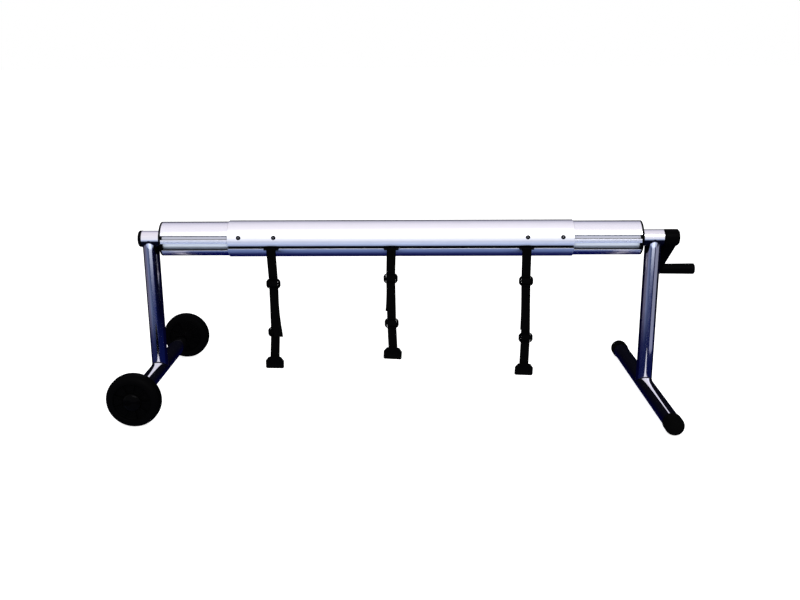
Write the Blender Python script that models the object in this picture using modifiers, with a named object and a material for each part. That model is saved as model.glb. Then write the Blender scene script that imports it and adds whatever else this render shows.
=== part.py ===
"""Pool cover reel: a telescopic aluminium tube turned by a crank between two stainless steel stands.

Metres, +Z up. The reel's axis runs along X with the crank at +X, and the strap channel faces the front,
at -Y. Distances along the reel are counted from the middle of the centre tube, and the frame empty then
moves the whole reel so that the origin lies on the floor under the middle of its box.
"""

import math

import bmesh
import bpy
import numpy as np
from mathutils import Matrix, Vector

# Clearances
SEAT_GAP = 0.0003
TURN_GAP = 0.0004
SLIDE_GAP = 0.0006
SIDE_GAP = 0.001

# Reel tube
AXIS_HEIGHT = 0.446
REEL_LENGTH = 1.316
CENTRE_TUBE_DIAMETER = 0.100
CENTRE_TUBE_LENGTH = 0.940
TUBE_WALL = 0.002
TELESCOPE_GAP = 0.001
INNER_TUBE_LENGTH = 0.450

# Strap channel, a T-slot along the centre tube
CHANNEL_ANGLE = math.radians(-21)
SLOT_WIDTH = 0.007
LIP_THICKNESS = 0.0022
CAVITY_WIDTH = 0.014
CAVITY_DEPTH = 0.0073
CHANNEL_WALL = 0.0018

# Screw groove along each inner tube, and the screws that bear in it
GROOVE_ANGLE = math.radians(10.5)
GROOVE_WIDTH = 0.008
GROOVE_DEPTH = 0.0035
SCREW_DIAMETER = 0.0048
SCREW_HEAD_DIAMETER = 0.0115
SCREW_HEAD_HEIGHT = 0.003
SCREW_FROM_TUBE_END = 0.031
SCREW_SPACING = 0.095

# End plugs, shafts and bearings
PLUG_FLANGE = 0.005
PLUG_DEPTH = 0.040
PLUG_WALL = 0.002
PLUG_BOSS_DIAMETER = 0.036
PLUG_BOSS_HEIGHT = 0.003
SHAFT_DIAMETER = 0.025
BUSH_FLANGE = 0.0025
BUSH_LENGTH = 0.015
COLLAR_DIAMETER = 0.032
COLLAR_LENGTH = 0.005
COLLAR_INSET = 0.003
SLEEVE_CAP_DEPTH = 0.006
SLEEVE_CAP_WALL = 0.0025
SLEEVE_CAP_HEIGHT = 0.0065
SLEEVE_CAP_ROUNDING = 0.004

# Stands
STAND_TUBE_DIAMETER = 0.0445
STAND_TUBE_WALL = 0.0015
LEFT_SLEEVE_LENGTH = 0.0507
RIGHT_SLEEVE_LENGTH = 0.0548
POST_OFFSET = 0.0012

# Wheels of the left stand, each turning about an axle along Y
WHEEL_DIAMETER = 0.142
WHEEL_WIDTH = 0.045
WHEEL_SHOULDER = 0.017
WHEEL_WEB_RECESS = 0.008
WHEEL_RIM_DEPTH = 0.022
WHEEL_HUB_DIAMETER = 0.048
FRONT_WHEEL_REACH = 0.256
REAR_WHEEL_REACH = 0.317
AXLE_DIAMETER = 0.010
AXLE_HEAD_DIAMETER = 0.018
AXLE_HEAD_HEIGHT = 0.006
BAR_PLUG_FLANGE = 0.004
BAR_PLUG_DEPTH = 0.022
HUB_CAP_DIAMETER = 0.040
HUB_CAP_HEIGHT = 0.010
HUB_CAP_WALL = 0.002
HUB_CAP_SPIGOT = 0.004

# Foot caps of the right stand
FOOT_REACH = 0.318
FOOT_CAP_DIAMETER = 0.050
FOOT_CAP_SLEEVE = 0.024
FOOT_CAP_FLAT = 0.0005

# Crank
CRANK_RADIUS = 0.162
CRANK_ANGLE = math.radians(45)
CRANK_HUB_DIAMETER = 0.046
CRANK_HUB_LENGTH = 0.0395
CRANK_HUB_END_WALL = 0.008
CRANK_ROOT_WIDTH = 0.036
CRANK_TIP_WIDTH = 0.026
CRANK_ROOT_THICKNESS = 0.034
CRANK_TIP_THICKNESS = 0.022
CRANK_TIP_BOSS_DIAMETER = 0.030
CRANK_SCREW_DIAMETER = 0.008
CRANK_SCREW_HEAD_DIAMETER = 0.015
CRANK_SCREW_HEAD_HEIGHT = 0.004
CRANK_SCREW_LENGTH = 0.018
GRIP_LENGTH = 0.0843
GRIP_ROOT_DIAMETER = 0.0295
GRIP_TIP_DIAMETER = 0.0315
GRIP_BOLT_DIAMETER = 0.010
GRIP_BOLT_HEAD_DIAMETER = 0.017
GRIP_BOLT_HEAD_HEIGHT = 0.005
GRIP_BOLT_SEAT = 0.016

# Straps
WEBBING_WIDTH = 0.025
WEBBING_THICKNESS = 0.0016
LAYER_GAP = 0.0004
ANCHOR_PLATE_THICKNESS = 0.003
ANCHOR_BAR = 0.003
ANCHOR_WIDTH = 0.0415
ANCHOR_TIP_WIDTH = 0.039
ANCHOR_INNER_BAR = 0.0032
ANCHOR_FOOT_LENGTH = 0.038
GLIDE_WIDTH = 0.039
GLIDE_CHAMFER = 0.008
GLIDE_THICKNESS = 0.0045
GLIDE_SLOT = 0.009
GLIDE_MIDDLE_BAR = 0.005
GLIDE_RAIL = 0.0025
CLIP_WIDTH = 0.051
CLIP_TOP_WIDTH = 0.034
CLIP_HEIGHT = 0.034
CLIP_SHOULDER = 0.011
CLIP_CORNER = 0.003
CLIP_PLATE = 0.0025
CLIP_BAR = 0.003
CLIP_BAR_DROP = 0.008
CLIP_CHEEK = 0.0025
CLIP_MOUTH = 0.002
CLIP_GRIP_HEIGHT = 0.016
CLIP_STUD_DIAMETER = 0.009

# Each strap: its place along the reel, the drops below the anchor bar of its two buckles and its clip's top,
# and how far these three stand to the right of the anchor. Then its tail: the drop of its cut end, and how
# far it stands forward and to the right there
STRAPS = {
    "left": {
        "along": -0.3510,
        "upper": 0.0932,
        "lower": 0.2306,
        "clip": 0.3022,
        "upper_drift": 0.0040,
        "lower_drift": 0.0037,
        "clip_drift": -0.0006,
        "tail": 0.2415,
        "forward": 0.0076,
        "aside": 0.0112,
    },
    "middle": {
        "along": -0.0248,
        "upper": 0.0792,
        "lower": 0.2057,
        "clip": 0.2757,
        "upper_drift": -0.0021,
        "lower_drift": -0.0003,
        "clip_drift": 0.0026,
        "tail": 0.1710,
        "forward": 0.0060,
        "aside": -0.0040,
    },
    "right": {
        "along": 0.3412,
        "upper": 0.0870,
        "lower": 0.2479,
        "clip": 0.3230,
        "upper_drift": -0.0001,
        "lower_drift": 0.0033,
        "clip_drift": 0.0014,
        "tail": 0.2250,
        "forward": 0.0050,
        "aside": -0.0028,
    },
}

# Facets round a full turn
TUBE_FACETS = 40
WHEEL_FACETS = 34
STAND_FACETS = 24
SMALL_FACETS = 12

# Sizes that follow
CENTRE_RADIUS = CENTRE_TUBE_DIAMETER / 2
INNER_RADIUS = CENTRE_RADIUS - TUBE_WALL - TELESCOPE_GAP
CHANNEL_FLOOR = CENTRE_RADIUS - LIP_THICKNESS - CAVITY_DEPTH
CHANNEL_BACK = CHANNEL_FLOOR - CHANNEL_WALL
CHANNEL_HALF = CAVITY_WIDTH / 2 + CHANNEL_WALL
RECESS_FLOOR = CHANNEL_BACK - TELESCOPE_GAP
RECESS_HALF = CHANNEL_HALF + TELESCOPE_GAP
GROOVE_FLOOR = INNER_RADIUS - GROOVE_DEPTH
STAND_RADIUS = STAND_TUBE_DIAMETER / 2
STAND_BORE = STAND_RADIUS - STAND_TUBE_WALL
SHAFT_RADIUS = SHAFT_DIAMETER / 2
SHAFT_BORE = SHAFT_RADIUS + TURN_GAP
REEL_END = REEL_LENGTH / 2
SLEEVE_START = REEL_END + PLUG_BOSS_HEIGHT + SIDE_GAP + BUSH_FLANGE + SEAT_GAP
LEFT_SLEEVE_END = SLEEVE_START + LEFT_SLEEVE_LENGTH
RIGHT_SLEEVE_END = SLEEVE_START + RIGHT_SLEEVE_LENGTH
LEFT_POST_ALONG = (SLEEVE_START + LEFT_SLEEVE_END) / 2 + POST_OFFSET
RIGHT_POST_ALONG = (SLEEVE_START + RIGHT_SLEEVE_END) / 2 + POST_OFFSET
HUB_START = RIGHT_SLEEVE_END + SEAT_GAP + BUSH_FLANGE + TURN_GAP
HUB_END = HUB_START + CRANK_HUB_LENGTH
GRIP_START = HUB_END + TURN_GAP
GRIP_END = GRIP_START + GRIP_LENGTH
WHEEL_RADIUS = WHEEL_DIAMETER / 2
WHEEL_HUB_RADIUS = WHEEL_HUB_DIAMETER / 2
FOOT_CAP_RADIUS = FOOT_CAP_DIAMETER / 2
RIGHT_BAR_HEIGHT = FOOT_CAP_RADIUS - FOOT_CAP_FLAT
LAYER_STEP = WEBBING_THICKNESS + LAYER_GAP
BAR_TURN = ANCHOR_BAR / math.sqrt(2) + LAYER_GAP + WEBBING_THICKNESS / 2
ANCHOR_INNER_FACE = CENTRE_RADIUS + SLIDE_GAP + ANCHOR_INNER_BAR
ANCHOR_BAR_RADIUS = ANCHOR_INNER_FACE + SLIDE_GAP + WEBBING_THICKNESS / 2 + BAR_TURN
ANCHOR_TIP = ANCHOR_BAR_RADIUS + ANCHOR_BAR / 2
LOOP_WIDTH = WEBBING_WIDTH + 4 * SIDE_GAP
HUB_CAP_SEAT = WHEEL_WIDTH / 2 - HUB_CAP_WALL
WHEEL_FRONT_FACE = FRONT_WHEEL_REACH + HUB_CAP_SEAT + HUB_CAP_HEIGHT
WHEEL_REAR_FACE = REAR_WHEEL_REACH + HUB_CAP_SEAT + HUB_CAP_HEIGHT

for old in list(bpy.data.objects):
    bpy.data.objects.remove(old)

REEL = bpy.data.collections.new("pool_cover_reel")
CUTTERS = bpy.data.collections.new("cutters")
bpy.context.scene.collection.children.link(REEL)
bpy.context.scene.collection.children.link(CUTTERS)


def material(name, colour, roughness, metallic=0.0):
    made = bpy.data.materials.new(name)
    made.use_nodes = True
    shader = made.node_tree.nodes["Principled BSDF"]
    shader.inputs["Base Color"].default_value = (*colour, 1)
    shader.inputs["Roughness"].default_value = roughness
    shader.inputs["Metallic"].default_value = metallic
    return made


FINISHES = {
    "aluminium": ((0.78, 0.79, 0.82), 0.32, 1.0),
    "stainless": ((0.62, 0.63, 0.68), 0.14, 1.0),
    "steel": ((0.55, 0.56, 0.58), 0.30, 1.0),
    "nylon": ((0.022, 0.022, 0.025), 0.45, 0.0),
    "rubber": ((0.014, 0.014, 0.015), 0.70, 0.0),
    "webbing": ((0.012, 0.012, 0.014), 0.85, 0.0),
}


def finish(piece, kind):
    """Gives the piece a material of its own in one of the reel's finishes."""
    piece.data.materials.clear()
    piece.data.materials.append(material(f"{piece.name}_{kind}", *FINISHES[kind]))
    return piece


def empty(name, location, parent=None, rotation=(0, 0, 0)):
    made = bpy.data.objects.new(name, None)
    made.empty_display_size = 0.03
    made.location = location
    made.rotation_euler = rotation
    made.parent = parent
    REEL.objects.link(made)
    return made


def add(name, data, parent, location=(0, 0, 0), rotation=(0, 0, 0), collection=None):
    made = bpy.data.objects.new(name, data)
    made.location = location
    made.rotation_euler = rotation
    made.parent = parent
    (collection or REEL).objects.link(made)
    return made


def hide_cutter(made):
    made.hide_render = True
    made.display_type = "WIRE"
    return made


ALONG_X = (0, math.pi / 2, 0)
ALONG_MINUS_X = (0, -math.pi / 2, 0)
ALONG_Y = (-math.pi / 2, 0, 0)
ALONG_MINUS_Y = (math.pi / 2, 0, 0)
ACROSS_REEL = Matrix(((0, 0, -1), (-1, 0, 0), (0, 1, 0))).to_euler()


def shade(mesh):
    mesh.shade_smooth()
    mesh.set_sharp_from_angle(angle=math.radians(40))


def turned(name, profile, parent, location=(0, 0, 0), rotation=(0, 0, 0), facets=STAND_FACETS, closed=False):
    """A turned piece. The profile holds (radius, height) and runs from the top down its outer side."""
    mesh = bpy.data.meshes.new(name)
    edges = [(i, i + 1) for i in range(len(profile) - 1)]
    if closed:
        edges.append((len(profile) - 1, 0))
    mesh.from_pydata([(radius, 0, height) for radius, height in profile], edges, [])
    made = add(name, mesh, parent, location, rotation)
    screw = made.modifiers.new("turn", "SCREW")
    screw.axis = "Z"
    screw.steps = facets
    screw.render_steps = facets
    screw.use_merge_vertices = True
    screw.merge_threshold = 0.00001
    screw.use_smooth_shade = True
    return made


def ring(name, outer, bore, low, high, parent, location=(0, 0, 0), rotation=(0, 0, 0)):
    """A plain tube or washer from low to high along its own axis."""
    profile = [(bore, high), (outer, high), (outer, low), (bore, low)]
    return turned(name, profile, parent, location, rotation, closed=True)


def cylinder_cutter(name, radius, length, parent, location, rotation, facets=STAND_FACETS):
    shape = bmesh.new()
    bmesh.ops.create_cone(shape, cap_ends=True, segments=facets, radius1=radius, radius2=radius, depth=length)
    mesh = bpy.data.meshes.new(name)
    shape.to_mesh(mesh)
    shape.free()
    return hide_cutter(add(name, mesh, parent, location, rotation, CUTTERS))


def box_mesh(name, size, centre=(0, 0, 0)):
    shape = bmesh.new()
    bmesh.ops.create_cube(shape, size=1)
    bmesh.ops.scale(shape, vec=size, verts=shape.verts)
    bmesh.ops.translate(shape, vec=centre, verts=shape.verts)
    mesh = bpy.data.meshes.new(name)
    shape.to_mesh(mesh)
    shape.free()
    return mesh


def box_cutter(name, size, centre, parent, location=(0, 0, 0), rotation=(0, 0, 0)):
    return hide_cutter(add(name, box_mesh(name, size, centre), parent, location, rotation, CUTTERS))


def combine(piece, other, operation):
    change = piece.modifiers.new(f"{operation.lower()}_{other.name}", "BOOLEAN")
    change.operation = operation
    change.solver = "EXACT"
    change.object = other
    return piece


def outline_curve(name, loops, thickness):
    """A flat plate or an extruded section: the first loop is its edge and the others are its openings."""
    curve = bpy.data.curves.new(name, "CURVE")
    curve.dimensions = "2D"
    curve.fill_mode = "BOTH"
    curve.extrude = thickness / 2
    for loop in loops:
        spline = curve.splines.new("POLY")
        spline.points.add(len(loop) - 1)
        for point, (across, up) in zip(spline.points, loop):
            point.co = (across, up, 0, 1)
        spline.use_cyclic_u = True
    return curve


def as_mesh(made):
    """Turns a curve object into a mesh object with its caps welded on."""
    bpy.context.view_layer.update()
    graph = bpy.context.evaluated_depsgraph_get()
    mesh = bpy.data.meshes.new_from_object(made.evaluated_get(graph))
    shape = bmesh.new()
    shape.from_mesh(mesh)
    bmesh.ops.remove_doubles(shape, verts=shape.verts, dist=0.000001)
    shape.to_mesh(mesh)
    shape.free()
    name, parent = made.name, made.parent
    location, rotation = made.location.copy(), made.rotation_euler.copy()
    holder = made.users_collection[0]
    hidden = made.hide_render
    bpy.data.objects.remove(made)
    mesh.name = name
    solid = add(name, mesh, parent, location, rotation, holder)
    return hide_cutter(solid) if hidden else solid


def plate(name, loops, thickness, parent, location=(0, 0, 0), rotation=(0, 0, 0)):
    return as_mesh(add(name, outline_curve(name, loops, thickness), parent, location, rotation))


def notched_circle(radius, notches, facets=TUBE_FACETS):
    """A circle with notches, each an angle and its upper side's (across, outward) points, rim to floor."""
    points = []
    for i in range(facets):
        angle = 2 * math.pi * i / facets
        clear = True
        for place, side in notches:
            reach = math.asin(side[0][0] / radius) + math.pi / facets / 2
            clear = clear and abs(math.remainder(angle - place, 2 * math.pi)) > reach
        if clear:
            points.append((angle, radius, 0))
    for place, side in notches:
        rim = math.sqrt(radius**2 - side[0][0] ** 2)
        upper = [(side[0][0], rim)] + list(side[1:])
        lower = [(-across, outward) for across, outward in upper]
        for step, (across, outward) in enumerate(lower + upper[::-1]):
            points.append((place % (2 * math.pi), (across, outward), step))
    points.sort(key=lambda point: (point[0], point[2]))
    loop = []
    for angle, shape, _ in points:
        across, outward = (0, shape) if isinstance(shape, float) else shape
        loop.append(
            (
                outward * math.cos(angle) - across * math.sin(angle),
                outward * math.sin(angle) + across * math.cos(angle),
            )
        )
    return loop


def inner_tube_notches(grown):
    """The groove and the channel recess of an inner tube, widened and deepened by the given amount."""
    groove = GROOVE_WIDTH / 2 + grown
    recess = RECESS_HALF + grown
    return [
        (GROOVE_ANGLE, [(groove, 0), (groove, GROOVE_FLOOR - grown)]),
        (CHANNEL_ANGLE, [(recess, 0), (recess, RECESS_FLOOR - grown)]),
    ]


# Frame: the middle of the floor under the whole reel
left_end = -(LEFT_POST_ALONG + WHEEL_RADIUS)
front_end = -max(FOOT_REACH + FOOT_CAP_RADIUS, WHEEL_FRONT_FACE)
rear_end = max(FOOT_REACH + FOOT_CAP_RADIUS, WHEEL_REAR_FACE)
frame = empty("frame", (-(left_end + GRIP_END) / 2, -(front_end + rear_end) / 2, 0))
left_stand = empty("left_stand", (-LEFT_POST_ALONG, 0, 0), frame)
reel_axis = empty("reel_axis", (0, 0, AXIS_HEIGHT), frame)
right_stand = empty("right_stand", (RIGHT_POST_ALONG, 0, 0), frame)


def stand_tubes(side, stand, bar_height, bar_front, bar_rear, sleeve_place, sleeve_length):
    """The three welded tubes of a stand: foot bar, post and bearing sleeve."""
    foot = (0, 0, bar_height)
    bar = ring(f"{side}_foot_bar", STAND_RADIUS, STAND_BORE, bar_front, bar_rear, stand, foot, ALONG_Y)
    finish(bar, "stainless")
    end = sleeve_length / 2
    sleeve = ring(f"{side}_sleeve", STAND_RADIUS, STAND_BORE, -end, end, stand, sleeve_place, ALONG_X)
    finish(sleeve, "stainless")
    post = ring(f"{side}_post", STAND_RADIUS, STAND_BORE, bar_height, AXIS_HEIGHT, stand)
    mouth = STAND_RADIUS + SEAT_GAP
    length = 2 * STAND_TUBE_DIAMETER
    for where, place, rotation in (("bar", foot, ALONG_Y), ("sleeve", sleeve_place, ALONG_X)):
        cutter = cylinder_cutter(f"{side}_{where}_mouth", mouth, length, stand, place, rotation)
        combine(post, cutter, "DIFFERENCE")
    finish(post, "stainless")


def bush(name, stand, outward, sleeve_place, sleeve_length, flange):
    """A bearing bush in one end of a sleeve, with a flange on the sleeve's end or behind a collar."""
    body = STAND_BORE - SEAT_GAP
    end = sleeve_length / 2
    if flange:
        inner, outer = end - BUSH_LENGTH, end + SEAT_GAP
        profile = [
            (SHAFT_BORE, outer + BUSH_FLANGE),
            (STAND_RADIUS, outer + BUSH_FLANGE),
            (STAND_RADIUS, outer),
            (body, outer),
            (body, inner),
            (SHAFT_BORE, inner),
        ]
    else:
        outer = end - COLLAR_INSET - COLLAR_LENGTH - TURN_GAP
        inner = outer - BUSH_LENGTH
        profile = [(SHAFT_BORE, outer), (body, outer), (body, inner), (SHAFT_BORE, inner)]
    rotation = ALONG_X if outward > 0 else ALONG_MINUS_X
    made = turned(name, profile, stand, sleeve_place, rotation, closed=True)
    return finish(made, "nylon")


# Left stand, on two wheels
wheel_gap = WHEEL_WIDTH / 2 + SIDE_GAP + BAR_PLUG_FLANGE + SEAT_GAP
bar_front = wheel_gap - FRONT_WHEEL_REACH
bar_rear = REAR_WHEEL_REACH - wheel_gap
left_place = (POST_OFFSET, 0, AXIS_HEIGHT)
stand_tubes("left", left_stand, WHEEL_RADIUS, bar_front, bar_rear, left_place, LEFT_SLEEVE_LENGTH)
bush("left_inner_bush", left_stand, 1, left_place, LEFT_SLEEVE_LENGTH, flange=True)
bush("left_outer_bush", left_stand, -1, left_place, LEFT_SLEEVE_LENGTH, flange=False)


def sleeve_cap():
    """The cap in the left sleeve's outer end."""
    body = STAND_BORE - SEAT_GAP
    end = LEFT_SLEEVE_LENGTH / 2
    top = end + SEAT_GAP + SLEEVE_CAP_HEIGHT
    rounding = SLEEVE_CAP_ROUNDING
    crown = [
        (0, top),
        (STAND_RADIUS - rounding, top),
        (STAND_RADIUS - 0.3 * rounding, top - 0.3 * rounding),
        (STAND_RADIUS, top - rounding),
        (STAND_RADIUS, end + SEAT_GAP),
    ]
    profile = crown + [
        (body, end + SEAT_GAP),
        (body, end - SLEEVE_CAP_DEPTH),
        (body - SLEEVE_CAP_WALL, end - SLEEVE_CAP_DEPTH),
        (body - SLEEVE_CAP_WALL, end + SEAT_GAP),
        (0, end + SEAT_GAP),
    ]
    made = turned("left_sleeve_cap", profile, left_stand, left_place, ALONG_MINUS_X)
    return finish(made, "nylon")


sleeve_cap()


def wheel_set(name, reach, rotation):
    """A wheel on its bolt, with the bar plug that takes the bolt and the cap over the bolt's head."""
    outward = -1 if rotation == ALONG_MINUS_Y else 1
    hub = empty(f"{name}_wheel_axle", (0, outward * reach, WHEEL_RADIUS), left_stand, rotation)
    half = WHEEL_WIDTH / 2
    bore = AXLE_DIAMETER / 2 + TURN_GAP
    web = half - WHEEL_WEB_RECESS
    rim = WHEEL_RADIUS - WHEEL_RIM_DEPTH
    lip = WHEEL_RADIUS - WHEEL_SHOULDER
    seat = HUB_CAP_DIAMETER / 2
    pocket = AXLE_HEAD_HEIGHT + HUB_CAP_WALL
    shoulder = [
        (lip + WHEEL_SHOULDER * math.sin(turn), half - WHEEL_SHOULDER + WHEEL_SHOULDER * math.cos(turn))
        for turn in [math.radians(22.5 * step) for step in range(5)]
    ]
    outer_side = [(bore, half - pocket), (seat, half - pocket), (seat, half - HUB_CAP_WALL)]
    outer_side += [(WHEEL_HUB_RADIUS, half - HUB_CAP_WALL), (WHEEL_HUB_RADIUS, web), (rim, web), (rim, half)]
    inner_side = [(rim, -half), (rim, -web), (WHEEL_HUB_RADIUS, -web), (WHEEL_HUB_RADIUS, -half)]
    inner_side += [(bore, -half)]
    profile = outer_side + shoulder + [(radius, -height) for radius, height in shoulder[::-1]] + inner_side
    finish(turned(f"{name}_wheel", profile, hub, facets=WHEEL_FACETS, closed=True), "nylon")

    head_foot = half - pocket + SEAT_GAP
    shank = AXLE_DIAMETER / 2
    plug_face = -half - SIDE_GAP
    plug_end = plug_face - BAR_PLUG_FLANGE - SEAT_GAP - BAR_PLUG_DEPTH
    head = AXLE_HEAD_DIAMETER / 2
    profile = [(0, head_foot + AXLE_HEAD_HEIGHT - SEAT_GAP), (head, head_foot + AXLE_HEAD_HEIGHT - SEAT_GAP)]
    profile += [(head, head_foot), (shank, head_foot), (shank, plug_end), (0, plug_end)]
    finish(turned(f"{name}_axle_bolt", profile, hub, facets=SMALL_FACETS), "steel")

    body = STAND_BORE - SEAT_GAP
    hole = shank + SEAT_GAP
    profile = [(hole, plug_face), (STAND_RADIUS, plug_face), (STAND_RADIUS, plug_face - BAR_PLUG_FLANGE)]
    profile += [(body, plug_face - BAR_PLUG_FLANGE), (body, plug_end), (hole, plug_end)]
    finish(turned(f"{name}_bar_plug", profile, hub, closed=True), "nylon")

    cap_foot = HUB_CAP_SEAT + SEAT_GAP
    cap_radius = WHEEL_HUB_RADIUS
    dome = HUB_CAP_HEIGHT - SEAT_GAP
    crown = [
        (cap_radius * math.cos(turn), cap_foot + dome * math.sin(turn))
        for turn in [math.radians(degrees) for degrees in (90, 60, 30, 0)]
    ]
    crown[0] = (0, crown[0][1])
    spigot = seat - SEAT_GAP
    hollow = spigot - HUB_CAP_WALL
    end = cap_foot - HUB_CAP_SPIGOT
    ceiling = cap_foot + HUB_CAP_WALL
    profile = crown + [(spigot, cap_foot), (spigot, end), (hollow, end), (hollow, ceiling), (0, ceiling)]
    finish(turned(f"{name}_hub_cap", profile, hub), "nylon")


wheel_set("front", FRONT_WHEEL_REACH, ALONG_MINUS_Y)
wheel_set("rear", REAR_WHEEL_REACH, ALONG_Y)

# Right stand, on two rubber foot caps
right_place = (-POST_OFFSET, 0, AXIS_HEIGHT)
stand_tubes("right", right_stand, RIGHT_BAR_HEIGHT, -FOOT_REACH, FOOT_REACH, right_place, RIGHT_SLEEVE_LENGTH)
bush("right_inner_bush", right_stand, -1, right_place, RIGHT_SLEEVE_LENGTH, flange=True)
bush("right_outer_bush", right_stand, 1, right_place, RIGHT_SLEEVE_LENGTH, flange=True)


def foot_cap(name, rotation):
    """A rubber cap over one end of the right foot bar, with a flat where it stands."""
    outward = -1 if rotation == ALONG_MINUS_Y else 1
    place = (0, outward * FOOT_REACH, RIGHT_BAR_HEIGHT)
    bore = STAND_RADIUS + SEAT_GAP
    crown = [
        (FOOT_CAP_RADIUS * math.sin(turn), FOOT_CAP_RADIUS * math.cos(turn))
        for turn in [math.radians(18 * step) for step in range(6)]
    ]
    crown[0] = (0, crown[0][1])
    profile = crown + [(FOOT_CAP_RADIUS, -FOOT_CAP_SLEEVE), (bore, -FOOT_CAP_SLEEVE), (bore, SEAT_GAP)]
    profile += [(0, SEAT_GAP)]
    made = turned(name, profile, right_stand, place, rotation)
    depth = FOOT_CAP_RADIUS
    size = (2 * depth, 4 * depth, depth)
    below = box_cutter(f"{name}_floor", size, (0, 0, -depth / 2 - RIGHT_BAR_HEIGHT), right_stand, place)
    combine(made, below, "DIFFERENCE")
    return finish(made, "rubber")


foot_cap("front_foot_cap", ALONG_MINUS_Y)
foot_cap("rear_foot_cap", ALONG_Y)


def centre_tube():
    """The middle section of the reel, with its strap channel and the holes of its four screws."""
    slot = SLOT_WIDTH / 2
    cavity = CAVITY_WIDTH / 2
    lip = CENTRE_RADIUS - LIP_THICKNESS
    channel = (CHANNEL_ANGLE, [(slot, 0), (slot, lip), (cavity, lip), (cavity, CHANNEL_FLOOR)])
    back = (CHANNEL_ANGLE, [(CHANNEL_HALF, 0), (CHANNEL_HALF, CHANNEL_BACK)])
    loops = [notched_circle(CENTRE_RADIUS, [channel]), notched_circle(CENTRE_RADIUS - TUBE_WALL, [back])]
    made = plate("centre_tube", loops, CENTRE_TUBE_LENGTH, reel_axis, (0, 0, 0), ACROSS_REEL)
    lean = math.pi / 2 - GROOVE_ANGLE
    radial = Vector((0, -math.cos(GROOVE_ANGLE), math.sin(GROOVE_ANGLE)))
    outermost = CENTRE_TUBE_LENGTH / 2 - SCREW_FROM_TUBE_END
    tip = GROOVE_FLOOR + SEAT_GAP
    under_head = CENTRE_RADIUS + SEAT_GAP
    top = under_head + SCREW_HEAD_HEIGHT
    head = SCREW_HEAD_DIAMETER / 2
    shank = SCREW_DIAMETER / 2
    for side, sign in (("left", -1), ("right", 1)):
        for step, which in enumerate(("outer", "inner")):
            along = sign * (outermost - step * SCREW_SPACING)
            place = radial * (CENTRE_RADIUS - TUBE_WALL / 2) + Vector((along, 0, 0))
            name = f"{side}_{which}_screw"
            width = shank + SEAT_GAP
            turn = (lean, 0, 0)
            hole = cylinder_cutter(f"{name}_hole", width, 4 * TUBE_WALL, reel_axis, place, turn, SMALL_FACETS)
            combine(made, hole, "DIFFERENCE")
            profile = [(0, top), (head * 0.6, top), (head, top - SCREW_HEAD_HEIGHT * 0.6), (head, under_head)]
            profile += [(shank, under_head), (shank, tip), (0, tip)]
            finish(turned(name, profile, reel_axis, (along, 0, 0), turn, SMALL_FACETS), "steel")
    return finish(made, "aluminium")


centre_tube()


def reel_side(side, sign, shaft_profile):
    """One inner tube with its end plug and its shaft, whose profile runs outward along the axis."""
    loops = [
        notched_circle(INNER_RADIUS, inner_tube_notches(0)),
        notched_circle(INNER_RADIUS - TUBE_WALL, inner_tube_notches(TUBE_WALL)),
    ]
    flange_face = REEL_END - PLUG_FLANGE
    middle = flange_face - SEAT_GAP - INNER_TUBE_LENGTH / 2
    place = (sign * middle, 0, 0)
    tube = plate(f"{side}_inner_tube", loops, INNER_TUBE_LENGTH, reel_axis, place, ACROSS_REEL)
    finish(tube, "aluminium")

    rotation = ALONG_X if sign > 0 else ALONG_MINUS_X
    boss = PLUG_BOSS_DIAMETER / 2
    seat = SHAFT_RADIUS + SEAT_GAP
    profile = [
        (seat, REEL_END + PLUG_BOSS_HEIGHT),
        (boss, REEL_END + PLUG_BOSS_HEIGHT),
        (boss, REEL_END),
        (INNER_RADIUS, REEL_END),
        (INNER_RADIUS, flange_face),
        (boss, flange_face),
        (boss, flange_face - PLUG_DEPTH),
        (seat, flange_face - PLUG_DEPTH),
    ]
    plug = turned(f"{side}_end_plug", profile, reel_axis, (0, 0, 0), rotation, TUBE_FACETS, closed=True)
    rim = [
        notched_circle(INNER_RADIUS - TUBE_WALL - SEAT_GAP, inner_tube_notches(TUBE_WALL + SEAT_GAP)),
        notched_circle(INNER_RADIUS - TUBE_WALL - PLUG_WALL, inner_tube_notches(TUBE_WALL + PLUG_WALL)),
    ]
    reach = PLUG_DEPTH + PLUG_FLANGE / 2
    place = (sign * (flange_face + PLUG_FLANGE / 2 - reach / 2), 0, 0)
    skirt = hide_cutter(plate(f"{side}_plug_skirt", rim, reach, reel_axis, place, ACROSS_REEL))
    REEL.objects.unlink(skirt)
    CUTTERS.objects.link(skirt)
    combine(plug, skirt, "UNION")
    finish(plug, "nylon")
    shaft = turned(f"{side}_shaft", shaft_profile, reel_axis, (0, 0, 0), rotation)
    return finish(shaft, "steel")


shaft_start = REEL_END - PLUG_FLANGE - PLUG_DEPTH
collar_end = LEFT_SLEEVE_END - COLLAR_INSET
stub = collar_end + SEAT_GAP
bevel = 0.001
left_profile = [(0, stub), (SHAFT_RADIUS - bevel, stub), (SHAFT_RADIUS, stub - bevel)]
left_profile += [(SHAFT_RADIUS, shaft_start), (0, shaft_start)]
reel_side("left", -1, left_profile)
collar_bore = SHAFT_RADIUS + SEAT_GAP
collar_start = collar_end - COLLAR_LENGTH
collar_radius = COLLAR_DIAMETER / 2
size = (collar_radius, collar_bore, collar_start, collar_end)
finish(ring("left_shaft_collar", *size, reel_axis, rotation=ALONG_MINUS_X), "steel")

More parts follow.
